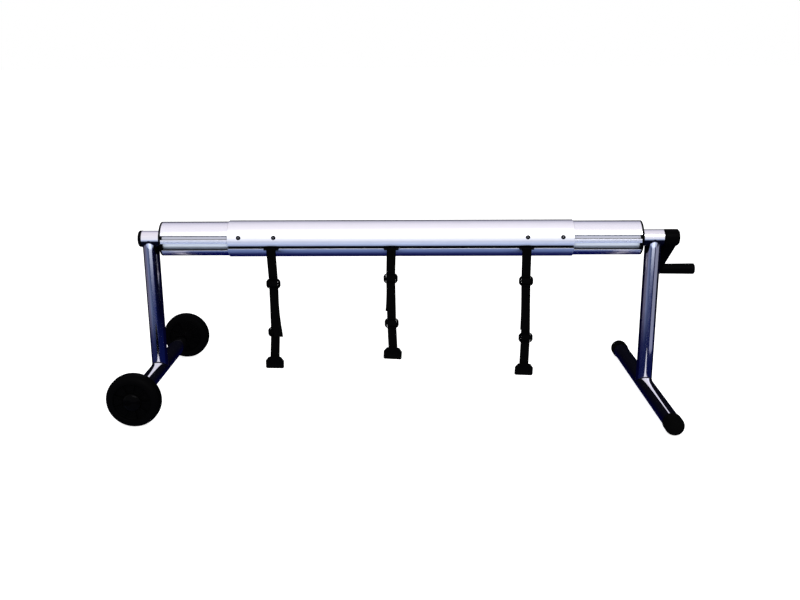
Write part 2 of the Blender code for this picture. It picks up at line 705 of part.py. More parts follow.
shaft_end = HUB_END - CRANK_HUB_END_WALL - SEAT_GAP
tap = CRANK_SCREW_DIAMETER / 2 + SEAT_GAP
screw_foot = HUB_END - CRANK_SCREW_HEAD_HEIGHT - SEAT_GAP
screw_tip = screw_foot - CRANK_SCREW_LENGTH
tap_floor = screw_tip - SIDE_GAP
right_profile = [(0, tap_floor), (tap, tap_floor), (tap, shaft_end), (SHAFT_RADIUS - bevel, shaft_end)]
right_profile += [(SHAFT_RADIUS, shaft_end - bevel), (SHAFT_RADIUS, shaft_start), (0, shaft_start)]
reel_side("right", 1, right_profile)

# Crank: its own empty turns the arm back from straight down
crank = empty("crank", (0, 0, 0), reel_axis, (CRANK_ANGLE, 0, 0))
grip_axis = empty("grip_axis", (0, 0, -CRANK_RADIUS), crank)


def crank_arm():
    """The moulded lever: a hub that takes the shaft, a tapered arm and a boss for the grip's bolt."""
    hub = CRANK_HUB_DIAMETER / 2
    socket = SHAFT_RADIUS + SEAT_GAP
    floor = HUB_END - CRANK_HUB_END_WALL
    pocket = CRANK_SCREW_HEAD_DIAMETER / 2 + SEAT_GAP
    edge = 0.002
    rim = hub - 2 * edge
    profile = [(0, HUB_END), (rim, HUB_END), (hub, HUB_END - 2 * edge), (hub, HUB_START), (0, HUB_START)]
    made = turned("crank_arm", profile, crank, (0, 0, 0), ALONG_X)

    outer_face = HUB_END - edge
    mesh = box_mesh("crank_lever", (1, 1, 1))
    for corner in mesh.vertices:
        root = corner.co.z > 0
        width = CRANK_ROOT_WIDTH if root else CRANK_TIP_WIDTH
        thickness = CRANK_ROOT_THICKNESS if root else CRANK_TIP_THICKNESS
        corner.co.x = outer_face if corner.co.x > 0 else outer_face - thickness
        corner.co.y *= width
        corner.co.z = 0 if root else -CRANK_RADIUS
    lever = hide_cutter(add("crank_lever", mesh, crank, collection=CUTTERS))
    rounding = lever.modifiers.new("rounding", "BEVEL")
    rounding.width = 2 * edge
    rounding.segments = 2
    combine(made, lever, "UNION")

    boss = CRANK_TIP_BOSS_DIAMETER / 2
    length = CRANK_TIP_THICKNESS + edge
    place = (HUB_END - length / 2, 0, -CRANK_RADIUS)
    combine(made, cylinder_cutter("crank_tip_boss", boss, length, crank, place, ALONG_X), "UNION")
    bolt = GRIP_BOLT_DIAMETER / 2 + SEAT_GAP
    length = GRIP_BOLT_SEAT + edge
    place = (HUB_END + edge - length / 2, 0, -CRANK_RADIUS)
    hole = cylinder_cutter("grip_bolt_hole", bolt, length, crank, place, ALONG_X, SMALL_FACETS)
    combine(made, hole, "DIFFERENCE")

    seat = screw_foot - SEAT_GAP
    profile = [(0, HUB_END + edge), (pocket, HUB_END + edge), (pocket, seat), (tap, seat), (tap, floor)]
    profile += [(socket, floor), (socket, HUB_START - edge), (0, HUB_START - edge)]
    bore = hide_cutter(turned("crank_bore", profile, crank, (0, 0, 0), ALONG_X))
    REEL.objects.unlink(bore)
    CUTTERS.objects.link(bore)
    combine(made, bore, "DIFFERENCE")
    return finish(made, "nylon")


crank_arm()
head = CRANK_SCREW_HEAD_DIAMETER / 2
shank = CRANK_SCREW_DIAMETER / 2
screw_top = screw_foot + CRANK_SCREW_HEAD_HEIGHT
profile = [(0, screw_top), (head * 0.7, screw_top), (head, screw_top - 0.001), (head, screw_foot)]
profile += [(shank, screw_foot), (shank, screw_tip), (0, screw_tip)]
finish(turned("crank_screw", profile, crank, (0, 0, 0), ALONG_X, SMALL_FACETS), "steel")


def crank_grip():
    """The grip, which turns freely on a shoulder bolt held in the tip of the arm."""
    root = GRIP_ROOT_DIAMETER / 2
    tip = GRIP_TIP_DIAMETER / 2
    bore = GRIP_BOLT_DIAMETER / 2 + TURN_GAP
    pocket = GRIP_BOLT_HEAD_DIAMETER / 2 + TURN_GAP
    pocket_floor = GRIP_END - GRIP_BOLT_HEAD_HEIGHT - SIDE_GAP
    edge = 0.003
    profile = [
        (pocket, GRIP_END),
        (tip - edge, GRIP_END),
        (tip, GRIP_END - edge),
        (root, GRIP_START + edge),
        (root - edge / 2, GRIP_START),
        (bore, GRIP_START),
        (bore, pocket_floor),
        (pocket, pocket_floor),
    ]
    grip = turned("crank_grip", profile, grip_axis, (0, 0, 0), ALONG_X, closed=True)
    finish(grip, "nylon")

    shank = GRIP_BOLT_DIAMETER / 2
    head = GRIP_BOLT_HEAD_DIAMETER / 2
    head_foot = pocket_floor + SEAT_GAP
    head_top = head_foot + GRIP_BOLT_HEAD_HEIGHT
    end = HUB_END - GRIP_BOLT_SEAT + SIDE_GAP
    profile = [(0, head_top), (head - bevel, head_top), (head, head_top - bevel), (head, head_foot)]
    profile += [(shank, head_foot), (shank, end), (0, end)]
    return finish(turned("grip_bolt", profile, grip_axis, (0, 0, 0), ALONG_X, SMALL_FACETS), "steel")


crank_grip()


def anchor(side, axle):
    """The plastic T-piece that slides in the channel and carries the webbing on its outer bar."""
    wide = ANCHOR_WIDTH / 2
    narrow = ANCHOR_TIP_WIDTH / 2
    loop = LOOP_WIDTH / 2
    foot_top = CENTRE_RADIUS - LIP_THICKNESS - SLIDE_GAP
    foot_floor = CHANNEL_FLOOR + SLIDE_GAP
    shelf = CENTRE_RADIUS + SLIDE_GAP
    edge = [(wide, shelf), (wide, ANCHOR_INNER_FACE), (narrow, ANCHOR_TIP)]
    window = [(loop, ANCHOR_INNER_FACE), (loop, ANCHOR_TIP - ANCHOR_BAR)]
    loops = [points + [(-across, out) for across, out in points[::-1]] for points in (edge, window)]
    place = -Vector((0, -math.cos(CHANNEL_ANGLE), math.sin(CHANNEL_ANGLE))) * ANCHOR_BAR_RADIUS
    rotation = (math.pi - CHANNEL_ANGLE, 0, 0)
    made = plate(f"{side}_anchor", loops, ANCHOR_PLATE_THICKNESS, axle, place, rotation)
    size = (ANCHOR_FOOT_LENGTH, foot_top - foot_floor, CAVITY_WIDTH - 2 * SLIDE_GAP)
    centre = (0, (foot_top + foot_floor) / 2, 0)
    combine(made, box_cutter(f"{side}_anchor_foot", size, centre, axle, place, rotation), "UNION")
    low, high = foot_top - SIDE_GAP, shelf + SIDE_GAP
    size = (ANCHOR_FOOT_LENGTH - 2 * SIDE_GAP, high - low, ANCHOR_PLATE_THICKNESS)
    centre = (0, (low + high) / 2, 0)
    combine(made, box_cutter(f"{side}_anchor_neck", size, centre, axle, place, rotation), "UNION")
    return finish(made, "nylon")


def offset_line(points, distance):
    """The path moved sideways by the distance, forward where it runs down."""
    moved = []
    for i, point in enumerate(points):
        before = (point - points[i - 1]).normalized() if i else None
        after = (points[i + 1] - point).normalized() if i + 1 < len(points) else None
        along = ((before or after) + (after or before)).normalized()
        normal = Vector((along.y, -along.x))
        bend = normal.dot(Vector(((before or after).y, -(before or after).x)))
        moved.append(point - normal * (distance / bend))
    return moved


RAIL_CENTRE = GLIDE_THICKNESS / 2 + LAYER_GAP + WEBBING_THICKNESS / 2 + LAYER_STEP / 2
GLIDE_HALF = GLIDE_MIDDLE_BAR / 2 + GLIDE_SLOT + GLIDE_RAIL


def through_glide(drop):
    """The middle line of a pair of webbing layers past a buckle: behind its rails and over its middle bar."""
    slot_middle = GLIDE_MIDDLE_BAR / 2 + GLIDE_SLOT / 2
    far = slot_middle + GLIDE_SLOT * 0.3
    near = slot_middle - GLIDE_SLOT * 0.3
    clear = GLIDE_HALF + SIDE_GAP
    front = 2 * RAIL_CENTRE
    steps = [(0, -clear), (0, -far), (front, -near), (front, near), (0, far), (0, clear)]
    return [Vector((forward, -drop - below)) for forward, below in steps]


def half_turn(drop, under):
    """Webbing round a bar: over it from front to back, or under it."""
    steps = 6
    sign = -1 if under else 1
    turns = [math.pi * i / steps for i in range(steps + 1)]
    return [Vector((BAR_TURN * math.cos(turn), -drop + sign * BAR_TURN * math.sin(turn))) for turn in turns]


def webbing_path(strap):
    """The strap's middle line as (forward, up) points, from the tail's cut end to the end behind the clip."""
    half = LAYER_STEP / 2
    upper = through_glide(strap["upper"])
    lower = through_glide(strap["lower"])
    tail_start = upper[-1].y
    tail_end = -strap["tail"]
    stand = strap["forward"] - half
    if strap["tail"] > strap["lower"] - GLIDE_HALF - SIDE_GAP:
        stand += 2 * RAIL_CENTRE
    tail = []
    for share in (1, 0.8, 0.6, 0.4, 0.2):
        forward = half + stand * share**1.5
        tail.append(Vector((forward, tail_start + (tail_end - tail_start) * share)))
    clip_bar = strap["clip"] + CLIP_BAR_DROP
    path = tail + offset_line(upper, half)[::-1] + half_turn(0, False) + offset_line(upper, -half)
    path += offset_line(lower, half) + half_turn(clip_bar, True)
    return path + offset_line(lower, -half)[::-1]


def drift(strap, drop):
    """How far the strap stands to the right of its anchor at a drop."""
    drops = [0, strap["upper"], strap["lower"], strap["clip"]]
    return np.interp(drop, drops, [0, strap["upper_drift"], strap["lower_drift"], strap["clip_drift"]])


def webbing(side, strap, axle):
    """The webbing, a ribbon that follows its path and drifts sideways, with a tail that swings aside."""
    name = f"{side}_webbing"
    curve = bpy.data.curves.new(name, "CURVE")
    curve.dimensions = "2D"
    curve.extrude = WEBBING_WIDTH / 2
    path = webbing_path(strap)
    spline = curve.splines.new("POLY")
    spline.points.add(len(path) - 1)
    for point, place in zip(spline.points, path):
        point.co = (place.x, place.y, 0, 1)
    made = as_mesh(add(name, curve, axle, (0, 0, 0), ACROSS_REEL))
    tail_start = -strap["upper"] - GLIDE_HALF - SIDE_GAP
    tail_end = -strap["tail"]
    tail_points = 5
    for corner in made.data.vertices:
        nearest = min(range(len(path)), key=lambda i: (path[i] - corner.co.xy).length)
        corner.co.z -= drift(strap, -corner.co.y)
        if nearest < tail_points:
            share = (corner.co.y - tail_start) / (tail_end - tail_start)
            corner.co.z -= strap["aside"] * share**2
    thick = made.modifiers.new("thickness", "SOLIDIFY")
    thick.thickness = WEBBING_THICKNESS
    thick.offset = 0
    thick.use_even_offset = True
    return finish(made, "webbing")


def glide(name, drop, aside, axle):
    """A three-bar buckle: a flat frame with two slots, standing in front of the webbing."""
    wide = GLIDE_WIDTH / 2
    loop = LOOP_WIDTH / 2
    bar = GLIDE_MIDDLE_BAR / 2
    corner = GLIDE_CHAMFER
    cut = corner * 0.35
    quarter = [(wide, GLIDE_HALF - corner), (wide - cut, GLIDE_HALF - cut), (wide - corner, GLIDE_HALF)]
    right = [(across, -up) for across, up in quarter[::-1]] + quarter
    edge = right + [(-across, up) for across, up in right[::-1]]
    slots = []
    for low, high in ((bar, bar + GLIDE_SLOT), (-bar - GLIDE_SLOT, -bar)):
        slots.append([(loop, low), (loop, high), (-loop, high), (-loop, low)])
    place = (aside, -RAIL_CENTRE, -drop)
    made = plate(name, [edge] + slots, GLIDE_THICKNESS, axle, place, (math.pi / 2, 0, 0))
    return finish(made, "nylon")


def clip(side, strap, axle):
    """The clip that grips the cover's edge: a front plate with the webbing's bar, and a back plate."""
    aside = strap["clip_drift"]
    wide = CLIP_WIDTH / 2
    top = CLIP_TOP_WIDTH / 2
    foot = -CLIP_HEIGHT
    right = [(wide - CLIP_CORNER, foot), (wide, foot + CLIP_CORNER), (wide, -CLIP_SHOULDER), (top, 0)]
    edge = right + [(-across, up) for across, up in right[::-1]]
    loop_back = BAR_TURN + WEBBING_THICKNESS / 2
    back_face = -loop_back - SLIDE_GAP
    front_middle = back_face - CLIP_PLATE / 2
    place = (aside, front_middle, -strap["clip"])
    front = plate(f"{side}_clip_front", [edge], CLIP_PLATE, axle, place, (math.pi / 2, 0, 0))
    cheek_out = LOOP_WIDTH / 2 + CLIP_CHEEK
    bar_half = CLIP_BAR / 2
    bar_middle = (aside, 0, -strap["clip"] - CLIP_BAR_DROP)
    reach = -back_face + CLIP_PLATE / 2
    cheek_size = (CLIP_CHEEK, reach + bar_half, 2 * CLIP_BAR)
    for which, sign in (("left", -1), ("right", 1)):
        centre = (sign * (cheek_out - CLIP_CHEEK / 2), (bar_half - reach) / 2, 0)
        combine(front, box_cutter(f"{side}_clip_{which}_cheek", cheek_size, centre, axle, bar_middle), "UNION")
    size = (2 * cheek_out - CLIP_CHEEK, CLIP_BAR, CLIP_BAR)
    combine(front, box_cutter(f"{side}_clip_bar", size, (0, 0, 0), axle, bar_middle), "UNION")
    finish(front, "nylon")

    wide = CLIP_WIDTH / 2 - CLIP_CORNER
    low = foot + SIDE_GAP
    high = low + CLIP_GRIP_HEIGHT
    edge = [(wide, low), (wide, high), (-wide, high), (-wide, low)]
    middle = back_face + CLIP_MOUTH + CLIP_PLATE / 2
    place = (aside, middle, -strap["clip"])
    back = plate(f"{side}_clip_back", [edge], CLIP_PLATE, axle, place, (math.pi / 2, 0, 0))
    length = CLIP_MOUTH - SEAT_GAP + CLIP_PLATE / 2
    spot = (aside, back_face + SEAT_GAP + length / 2, -strap["clip"] + (low + high) / 2)
    radius = CLIP_STUD_DIAMETER / 2
    stud = cylinder_cutter(f"{side}_clip_stud", radius, length, axle, spot, ALONG_Y, SMALL_FACETS)
    combine(back, stud, "UNION")
    return finish(back, "nylon")


BAR_PLACE = Vector((0, -math.cos(CHANNEL_ANGLE), math.sin(CHANNEL_ANGLE))) * ANCHOR_BAR_RADIUS
for side, strap in STRAPS.items():
    slider = empty(f"{side}_anchor_bar", Vector((strap["along"], 0, 0)) + BAR_PLACE, reel_axis)
    anchor(side, slider)
    swing = empty(f"{side}_strap", (0, 0, 0), slider)
    webbing(side, strap, swing)
    glide(f"{side}_upper_buckle", strap["upper"], strap["upper_drift"], swing)
    glide(f"{side}_lower_buckle", strap["lower"], strap["lower_drift"], swing)
    clip(side, strap, swing)

for piece in REEL.objects:
    if piece.type == "MESH":
        shade(piece.data)
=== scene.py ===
import math

import bmesh
import bpy
import numpy as np
from mathutils import Matrix, Vector


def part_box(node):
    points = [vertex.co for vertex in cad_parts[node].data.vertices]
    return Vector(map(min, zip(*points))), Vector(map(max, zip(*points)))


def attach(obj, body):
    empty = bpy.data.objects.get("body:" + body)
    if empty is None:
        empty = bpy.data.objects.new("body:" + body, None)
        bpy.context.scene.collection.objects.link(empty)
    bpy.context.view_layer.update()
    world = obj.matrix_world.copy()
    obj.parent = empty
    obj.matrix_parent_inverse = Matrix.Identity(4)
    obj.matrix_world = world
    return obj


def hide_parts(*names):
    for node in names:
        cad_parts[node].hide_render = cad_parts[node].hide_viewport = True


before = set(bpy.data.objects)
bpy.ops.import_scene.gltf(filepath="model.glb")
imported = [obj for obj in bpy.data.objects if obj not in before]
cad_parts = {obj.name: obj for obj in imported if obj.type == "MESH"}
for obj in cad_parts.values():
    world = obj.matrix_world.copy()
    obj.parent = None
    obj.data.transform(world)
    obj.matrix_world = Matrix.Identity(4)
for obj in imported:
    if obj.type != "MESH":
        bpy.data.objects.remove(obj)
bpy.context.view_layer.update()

# Studio
# The reel stands on a plain white floor in an even white room, which is all that the camera sees. The metal
# reflects a painted room, pale in front and dark behind with a low dark skyline, and two strip lights.
SCENE = bpy.context.scene
SCENE.view_settings.view_transform = "Standard"

CAMERA_PLACE = (-0.01016, -2.46225, 0.9225)
CAMERA_YAW = math.radians(-0.78425)
CAMERA_PITCH = math.radians(14.8793)
CAMERA_ROLL = math.radians(0.30636)
CAMERA_LENS = 40.8465
CAMERA_SHIFT = (-0.00049, 0.00022)

ahead = Vector((
    math.sin(CAMERA_YAW) * math.cos(CAMERA_PITCH),
    math.cos(CAMERA_YAW) * math.cos(CAMERA_PITCH),
    -math.sin(CAMERA_PITCH),
))
level = Vector((math.cos(CAMERA_YAW), -math.sin(CAMERA_YAW), 0))
upward = -ahead.cross(level)
camera_right = level * math.cos(CAMERA_ROLL) - upward * math.sin(CAMERA_ROLL)
camera_up = upward * math.cos(CAMERA_ROLL) + level * math.sin(CAMERA_ROLL)
camera = bpy.data.objects.new("camera", bpy.data.cameras.new("camera"))
camera.data.sensor_width = 36
camera.data.lens = CAMERA_LENS
camera.data.shift_x, camera.data.shift_y = CAMERA_SHIFT
camera.matrix_world = Matrix((camera_right, camera_up, -ahead)).transposed().to_4x4()
camera.location = CAMERA_PLACE
SCENE.collection.objects.link(camera)
SCENE.camera = camera

FLOOR_REACH = 90
FLOOR_GLOW = 0.80


def fill(tree, node, inputs):
    """Sets a node's inputs by name or number. A node given as a value stands for its first output in use."""
    for key, value in inputs.items():
        if isinstance(value, bpy.types.Node):
            value = next(socket for socket in value.outputs if socket.enabled)
        if isinstance(value, bpy.types.NodeSocket):
            tree.links.new(value, node.inputs[key])
        else:
            node.inputs[key].default_value = value


def add(tree, kind, inputs=None, **settings):
    """Adds a node to a tree, with its settings and inputs."""
    node = tree.nodes.new(kind)
    for key, value in settings.items():
        setattr(node, key, value)
    fill(tree, node, inputs or {})
    return node


def new_material(name):
    """A material with its node tree and its Principled shader."""
    made = bpy.data.materials.new(name)
    made.use_nodes = True
    return made, made.node_tree, made.node_tree.nodes["Principled BSDF"]


def plain_mesh(shape):
    mesh = bpy.data.meshes.new("shape")
    shape.to_mesh(mesh)
    shape.free()
    return mesh


def place_object(name, mesh, material):
    """Puts a finished mesh into the scene, at the origin, with its material in the first slot."""
    made = bpy.data.objects.new(name, mesh)
    mesh.materials.clear()
    mesh.materials.append(material)
    SCENE.collection.objects.link(made)
    return made


def floor_sheet():
    shape = bmesh.new()
    bmesh.ops.create_grid(shape, x_segments=1, y_segments=1, size=FLOOR_REACH)
    material, tree, shader = new_material("white_floor")
    fill(tree, shader, {
        "Base Color": (0.8, 0.8, 0.8, 1),
        "Roughness": 1.0,
        "Specular IOR Level": 0.0,
        "Emission Color": (1, 1, 1, 1),
        "Emission Strength": FLOOR_GLOW,
    })
    made = place_object("floor", plain_mesh(shape), material)
    made.visible_glossy = False


floor_sheet()

ROOM_LIGHT = 0.55

# What polished metal sees of the room in front and behind, as colours by how steeply it looks, from
# straight down at -1 to straight up at 1
ROOM_IN_FRONT = (
    (-1.0, (0.08, 0.12, 0.32)), (-0.93, (0.15, 0.21, 0.41)), (-0.65, (0.28, 0.36, 0.57)),
    (-0.50, (0.38, 0.47, 0.68)), (-0.31, (0.56, 0.63, 0.82)), (-0.16, (0.78, 0.84, 1.00)),
    (-0.05, (0.96, 0.99, 1.09)), (0.60, (1.04, 1.02, 1.07)), (1.0, (0.97, 0.93, 1.00)),
)
ROOM_BEHIND = (
    (-1.0, (0.002, 0.004, 0.07)), (-0.70, (0.001, 0.001, 0.05)), (-0.20, (0.001, 0.001, 0.01)),
    (0.20, (0.003, 0.003, 0.006)), (0.45, (0.004, 0.004, 0.008)), (0.54, (0.34, 0.34, 0.44)),
    (0.63, (0.52, 0.51, 0.62)), (0.87, (0.80, 0.77, 0.87)), (1.0, (0.97, 0.93, 1.00)),
)

# What stands low round the room, from the left at -1 to the right at 1, over a navy foot. It is taller
# beside the reel than in front of it.
SKYLINE = (
    (-1.0, (0.15, 0.145, 0.22)), (-0.88, (0.15, 0.15, 0.24)), (-0.80, (0.18, 0.22, 0.38)),
    (-0.67, (0.13, 0.16, 0.29)), (-0.47, (0.08, 0.11, 0.22)), (-0.25, (0.05, 0.07, 0.18)),
    (0.05, (0.03, 0.045, 0.16)), (0.30, (0.012, 0.02, 0.11)), (0.50, (0.001, 0.002, 0.02)),
    (1.0, (0.0, 0.0, 0.004)),
)
SKYLINE_FOOT = (0.004, 0.007, 0.06, 1)
SKYLINE_MARGIN = 0.16


def calculate(tree, operation, *values):
    return add(tree, "ShaderNodeMath", dict(enumerate(values)), operation=operation)


def blend(tree, share, first, second, **settings):
    """Mixes two colours, from the first at 0 to the second at 1."""
    inputs = {"Factor": share, "A": first, "B": second}
    return add(tree, "ShaderNodeMix", inputs, data_type="RGBA", **settings)


def remap(tree, source, low, high, start=0, end=1):
    """Takes a value that runs from start to end to the range from low to high."""
    inputs = {"Value": source, "From Min": start, "From Max": end, "To Min": low, "To Max": high}
    return add(tree, "ShaderNodeMapRange", inputs)


def shade_by(tree, share, stops):
    """A colour from (value, colour) stops, whose values from -1 to 1 lie along the share from 0 to 1."""
    ramp = add(tree, "ShaderNodeValToRGB", {"Fac": share})
    elements = ramp.color_ramp.elements
    for number, (value, colour) in enumerate(stops):
        position = (value + 1) / 2
        stop = elements[number] if number < 2 else elements.new(position)
        stop.position = position
        stop.color = (*colour, 1)
    return ramp


def surroundings():
    """White to the camera, an even light on everything, and to the metal the painted room."""
    world = bpy.data.worlds.new("room")
    SCENE.world = world
    world.use_nodes = True
    tree = world.node_tree
    tree.nodes.clear()
    direction = add(tree, "ShaderNodeTexCoord").outputs["Generated"]
    aside, deep, high = add(tree, "ShaderNodeSeparateXYZ", {0: direction}).outputs

    def ease(value, start, end):
        inputs = {"Value": value, "From Min": start, "From Max": end}
        return add(tree, "ShaderNodeMapRange", inputs, interpolation_type="SMOOTHSTEP")

    steepness = remap(tree, high, 0, 1, -1, 1)
    front = shade_by(tree, steepness, ROOM_IN_FRONT)
    behind = shade_by(tree, steepness, ROOM_BEHIND)
    around = blend(tree, ease(deep, -0.05, 0.12), front, behind)
    beside = ease(calculate(tree, "ABSOLUTE", aside), 0.30, 0.38)
    margin = calculate(tree, "MULTIPLY", beside, SKYLINE_MARGIN)
    below_top = ease(calculate(tree, "SUBTRACT", high, margin), -0.19, -0.23)
    above_foot = ease(calculate(tree, "ADD", high, margin), -0.38, -0.355)
    share = calculate(tree, "MULTIPLY", below_top, above_foot)
    share = calculate(tree, "MULTIPLY", share, ease(deep, 0.34, 0.08))
    skyline = shade_by(tree, remap(tree, aside, 0, 1, -1, 1), SKYLINE)
    skyline = blend(tree, ease(high, -0.265, -0.284), skyline, SKYLINE_FOOT)
    path = add(tree, "ShaderNodeLightPath").outputs
    white = {"Color": (1, 1, 1, 1)}
    reflected = add(tree, "ShaderNodeBackground", {"Color": blend(tree, share, around, skyline)})
    even = add(tree, "ShaderNodeBackground", {**white, "Strength": ROOM_LIGHT})
    seen = add(tree, "ShaderNodeBackground", white)
    unseen = add(tree, "ShaderNodeMixShader", {0: path["Is Glossy Ray"], 1: even, 2: reflected})
    final = add(tree, "ShaderNodeMixShader", {0: path["Is Camera Ray"], 1: unseen, 2: seen})
    add(tree, "ShaderNodeOutputWorld", {"Surface": final})


surroundings()

# Each light: its place, the point that it faces, its two sides in metres, its power in watts, its colour,
# whether it shows in the metal and whether it lights the rest
LIGHTS = {
    "front_softbox": ((0.4, -3.2, 3.0), (0, 0, 0.4), (3.2, 1.6), 90, (1, 1, 1), True, True),
    "rear_softbox": ((0.0, 2.6, 2.6), (0, 0, 0.4), (3.0, 1.0), 20, (1, 1, 1), False, True),
    "tube_striplight": (
        (-0.04, -0.14, 0.409), (-0.04, 0, 0.435), (1.66, 0.021), 0.076, (0.70, 0.79, 1.0), True, False,
    ),
    "stand_striplight": (
        (0.896, -0.172, 0.20), (0.651, 0, 0.20), (0.28, 0.34), 0.11, (0.70, 0.74, 1.0), True, False,
    ),
}

for name, (place, target, sides, power, colour, reflected, lighting) in LIGHTS.items():
    lamp = bpy.data.lights.new(name, "AREA")
    lamp.shape = "RECTANGLE"
    lamp.size, lamp.size_y = sides
    lamp.energy = power
    lamp.color = colour
    light = bpy.data.objects.new(name, lamp)
    light.location = place
    light.rotation_mode = "QUATERNION"
    light.rotation_quaternion = (Vector(target) - Vector(place)).to_track_quat("-Z", "Y")
    light.visible_camera = False
    light.visible_glossy = reflected
    light.visible_diffuse = lighting
    SCENE.collection.objects.link(light)

# Stands
# Each stand is three pieces of polished stainless tube: a foot bar, an upright post and a bearing sleeve.
# The post's ends are cut to saddles that sit on the other two, and a fine weld runs round each saddle.
TUBE_DIAMETER = 0.0445
TUBE_WALL = 0.0015
TUBE_SIDES = 96
STAND_RADIUS = TUBE_DIAMETER / 2
STAND_BORE = STAND_RADIUS - TUBE_WALL
FIT = 0.0003
SADDLE_FIT = STAND_RADIUS + FIT
CUT_EDGE = 0.0004
WELD_WIDTH = 0.0032
WELD_RIPPLE = 0.0018
# The reach from the reel's axis of a post's dark band round its saddle, and the weld's blue-black heat tint,
# which also serves as painted shade on the sleeves' undersides and in that band.
SADDLE_DARK_REACH = 0.0238
HEAT_TINT_AND_SHADE = (0.008, 0.008, 0.02, 1)

reel_low, reel_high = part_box("centre_tube")
AXIS = (reel_low + reel_high) / 2


def measure(node):
    """The centre of a CAD node's box, and half of its length, depth and height."""
    low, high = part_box(node)
    return (low + high) / 2, [(far - near) / 2 for near, far in zip(low, high)]


def smooth_shade(mesh, crease=35):
    mesh.shade_smooth()
    mesh.set_sharp_from_angle(angle=math.radians(crease))


def mesh_from(shape, crease=35):
    """Closes a bmesh into a smooth shaded mesh that keeps its sharp corners."""
    bmesh.ops.recalc_face_normals(shape, faces=shape.faces)
    mesh = plain_mesh(shape)
    smooth_shade(mesh, crease)
    return mesh


def around_loop(loop):
    """Each item of a closed loop with the one after it."""
    return zip(loop, loop[1:] + loop[:1])


def skin(shape, first, second):
    """Faces between two closed rings with as many corners each."""
    for (one, after_one), (other, after_other) in zip(around_loop(first), around_loop(second)):
        shape.faces.new((one, after_one, after_other, other))


def revolve(profile, place, axis, sides=TUBE_SIDES):
    """Turns (radius, height) points, listed down the outer side, about an axis through the place."""
    turn = Vector(axis).to_track_quat("Z", "X").to_matrix()
    shape = bmesh.new()
    rings = []
    for radius, height in profile:
        if rings and (radius, height) == tuple(profile[0]):
            rings.append(rings[0])
            continue
        ring = []
        for step in range(1 if radius < 1e-7 else sides):
            angle = 2 * math.pi * step / sides
            point = Vector((radius * math.cos(angle), radius * math.sin(angle), height))
            ring.append(shape.verts.new(turn @ point + Vector(place)))
        rings.append(ring)
    for upper, lower in zip(rings, rings[1:]):
        for step in range(sides):
            after = (step + 1) % sides
            corners = [upper[step % len(upper)], lower[step % len(lower)]]
            corners += [lower[after % len(lower)], upper[after % len(upper)]]
            unique = list(dict.fromkeys(corners))
            if len(unique) > 2:
                shape.faces.new(unique)
    return mesh_from(shape)


def node_group(name, kind, inputs, outputs):
    """An empty node group with what it is given and its result, from the names and types of its sockets."""
    tree = bpy.data.node_groups.new(name, kind)
    for way, sockets in (("INPUT", inputs), ("OUTPUT", outputs)):
        for label, what in sockets.items():
            tree.interface.new_socket(label, in_out=way, socket_type=f"NodeSocket{what}")
    return tree, tree.nodes.new("NodeGroupInput").outputs, tree.nodes.new("NodeGroupOutput")


def vector_step(tree, operation, *values):
    return add(tree, "ShaderNodeVectorMath", dict(enumerate(values)), operation=operation)


def upward_part(tree, direction):
    return add(tree, "ShaderNodeSeparateXYZ", {0: direction}).outputs["Z"]


def across_axis(tree, place, axis_place):
    """A place's way from the reel's axis, square to it."""
    return vector_step(tree, "MULTIPLY", vector_step(tree, "SUBTRACT", place, axis_place), (0, 1, 1))


def scratch_group():
    """Fine drawn or rubbed lines along one direction, and larger clouds, both as values from 0 to 1."""
    inputs = {"Lengthwise": "Vector", "Line Spacing": "Float"}
    outputs = {"Lines": "Float", "Clouds": "Float"}
    tree, given, result = node_group("rubbed_lines", "ShaderNodeTree", inputs, outputs)
    place = add(tree, "ShaderNodeTexCoord").outputs["Object"]
    squeezed = vector_step(tree, "MULTIPLY", place, given["Lengthwise"])
    lines = {"Vector": squeezed, "Scale": given["Line Spacing"], "Detail": 4, "Roughness": 0.7}
    clouds = {"Vector": place, "Scale": 28, "Detail": 5}
    fill(tree, result, {
        "Lines": add(tree, "ShaderNodeTexNoise", lines),
        "Clouds": add(tree, "ShaderNodeTexNoise", clouds),
    })
    return tree


RUBBED_LINES = scratch_group()


def rubbed(tree, lengthwise, spacing):
    """The rubbed lines of one finish, as their Lines and Clouds."""
    inputs = {"Lengthwise": lengthwise, "Line Spacing": spacing}
    return add(tree, "ShaderNodeGroup", inputs, node_tree=RUBBED_LINES).outputs


def bump(tree, source, distance, strength=1.0):
    """A normal from a height, whose distance is how deep a full step of it is in metres."""
    return add(tree, "ShaderNodeBump", {"Height": source, "Distance": distance, "Strength": strength})


def polished_stainless(name, lengthwise, rough_low, rough_high, darkened_place):
    """Buffed stainless steel with faint buffing lines, cloudier patches and the weld's blue-black heat tint.

    A post has heat tint and painted shade in a band round the saddle under its sleeve, a sleeve has painted
    shade on its underside, and a weld is heat tinted everywhere.
    """
    made, tree, shader = new_material(name)
    lines = rubbed(tree, lengthwise, 900)
    streaks = blend(tree, lines["Lines"], (0.66, 0.65, 0.70, 1), (0.94, 0.93, 0.97, 1))
    place = add(tree, "ShaderNodeTexCoord").outputs
    # Heat tint and painted shade in a band round the post's saddle, in the crevice under its sleeve.
    if darkened_place == "saddle":
        reach = vector_step(tree, "LENGTH", across_axis(tree, place["Object"], AXIS))
        colour = blend(tree, remap(tree, reach, 0, 1, SADDLE_DARK_REACH + 0.0006, SADDLE_DARK_REACH), streaks, HEAT_TINT_AND_SHADE)
    # Painted shade: the sleeve darkens where it faces down.
    elif darkened_place == "underside":
        downward = remap(tree, upward_part(tree, place["Normal"]), 0, 1, -0.10, -0.20)
        colour = blend(tree, downward, streaks, HEAT_TINT_AND_SHADE)
    else:
        colour = HEAT_TINT_AND_SHADE
    fill(tree, shader, {
        "Base Color": colour,
        "Metallic": 1.0,
        "Roughness": remap(tree, lines["Clouds"], rough_low, rough_high),
        "Normal": bump(tree, lines["Lines"], 0.00001, 0.25),
    })
    return made


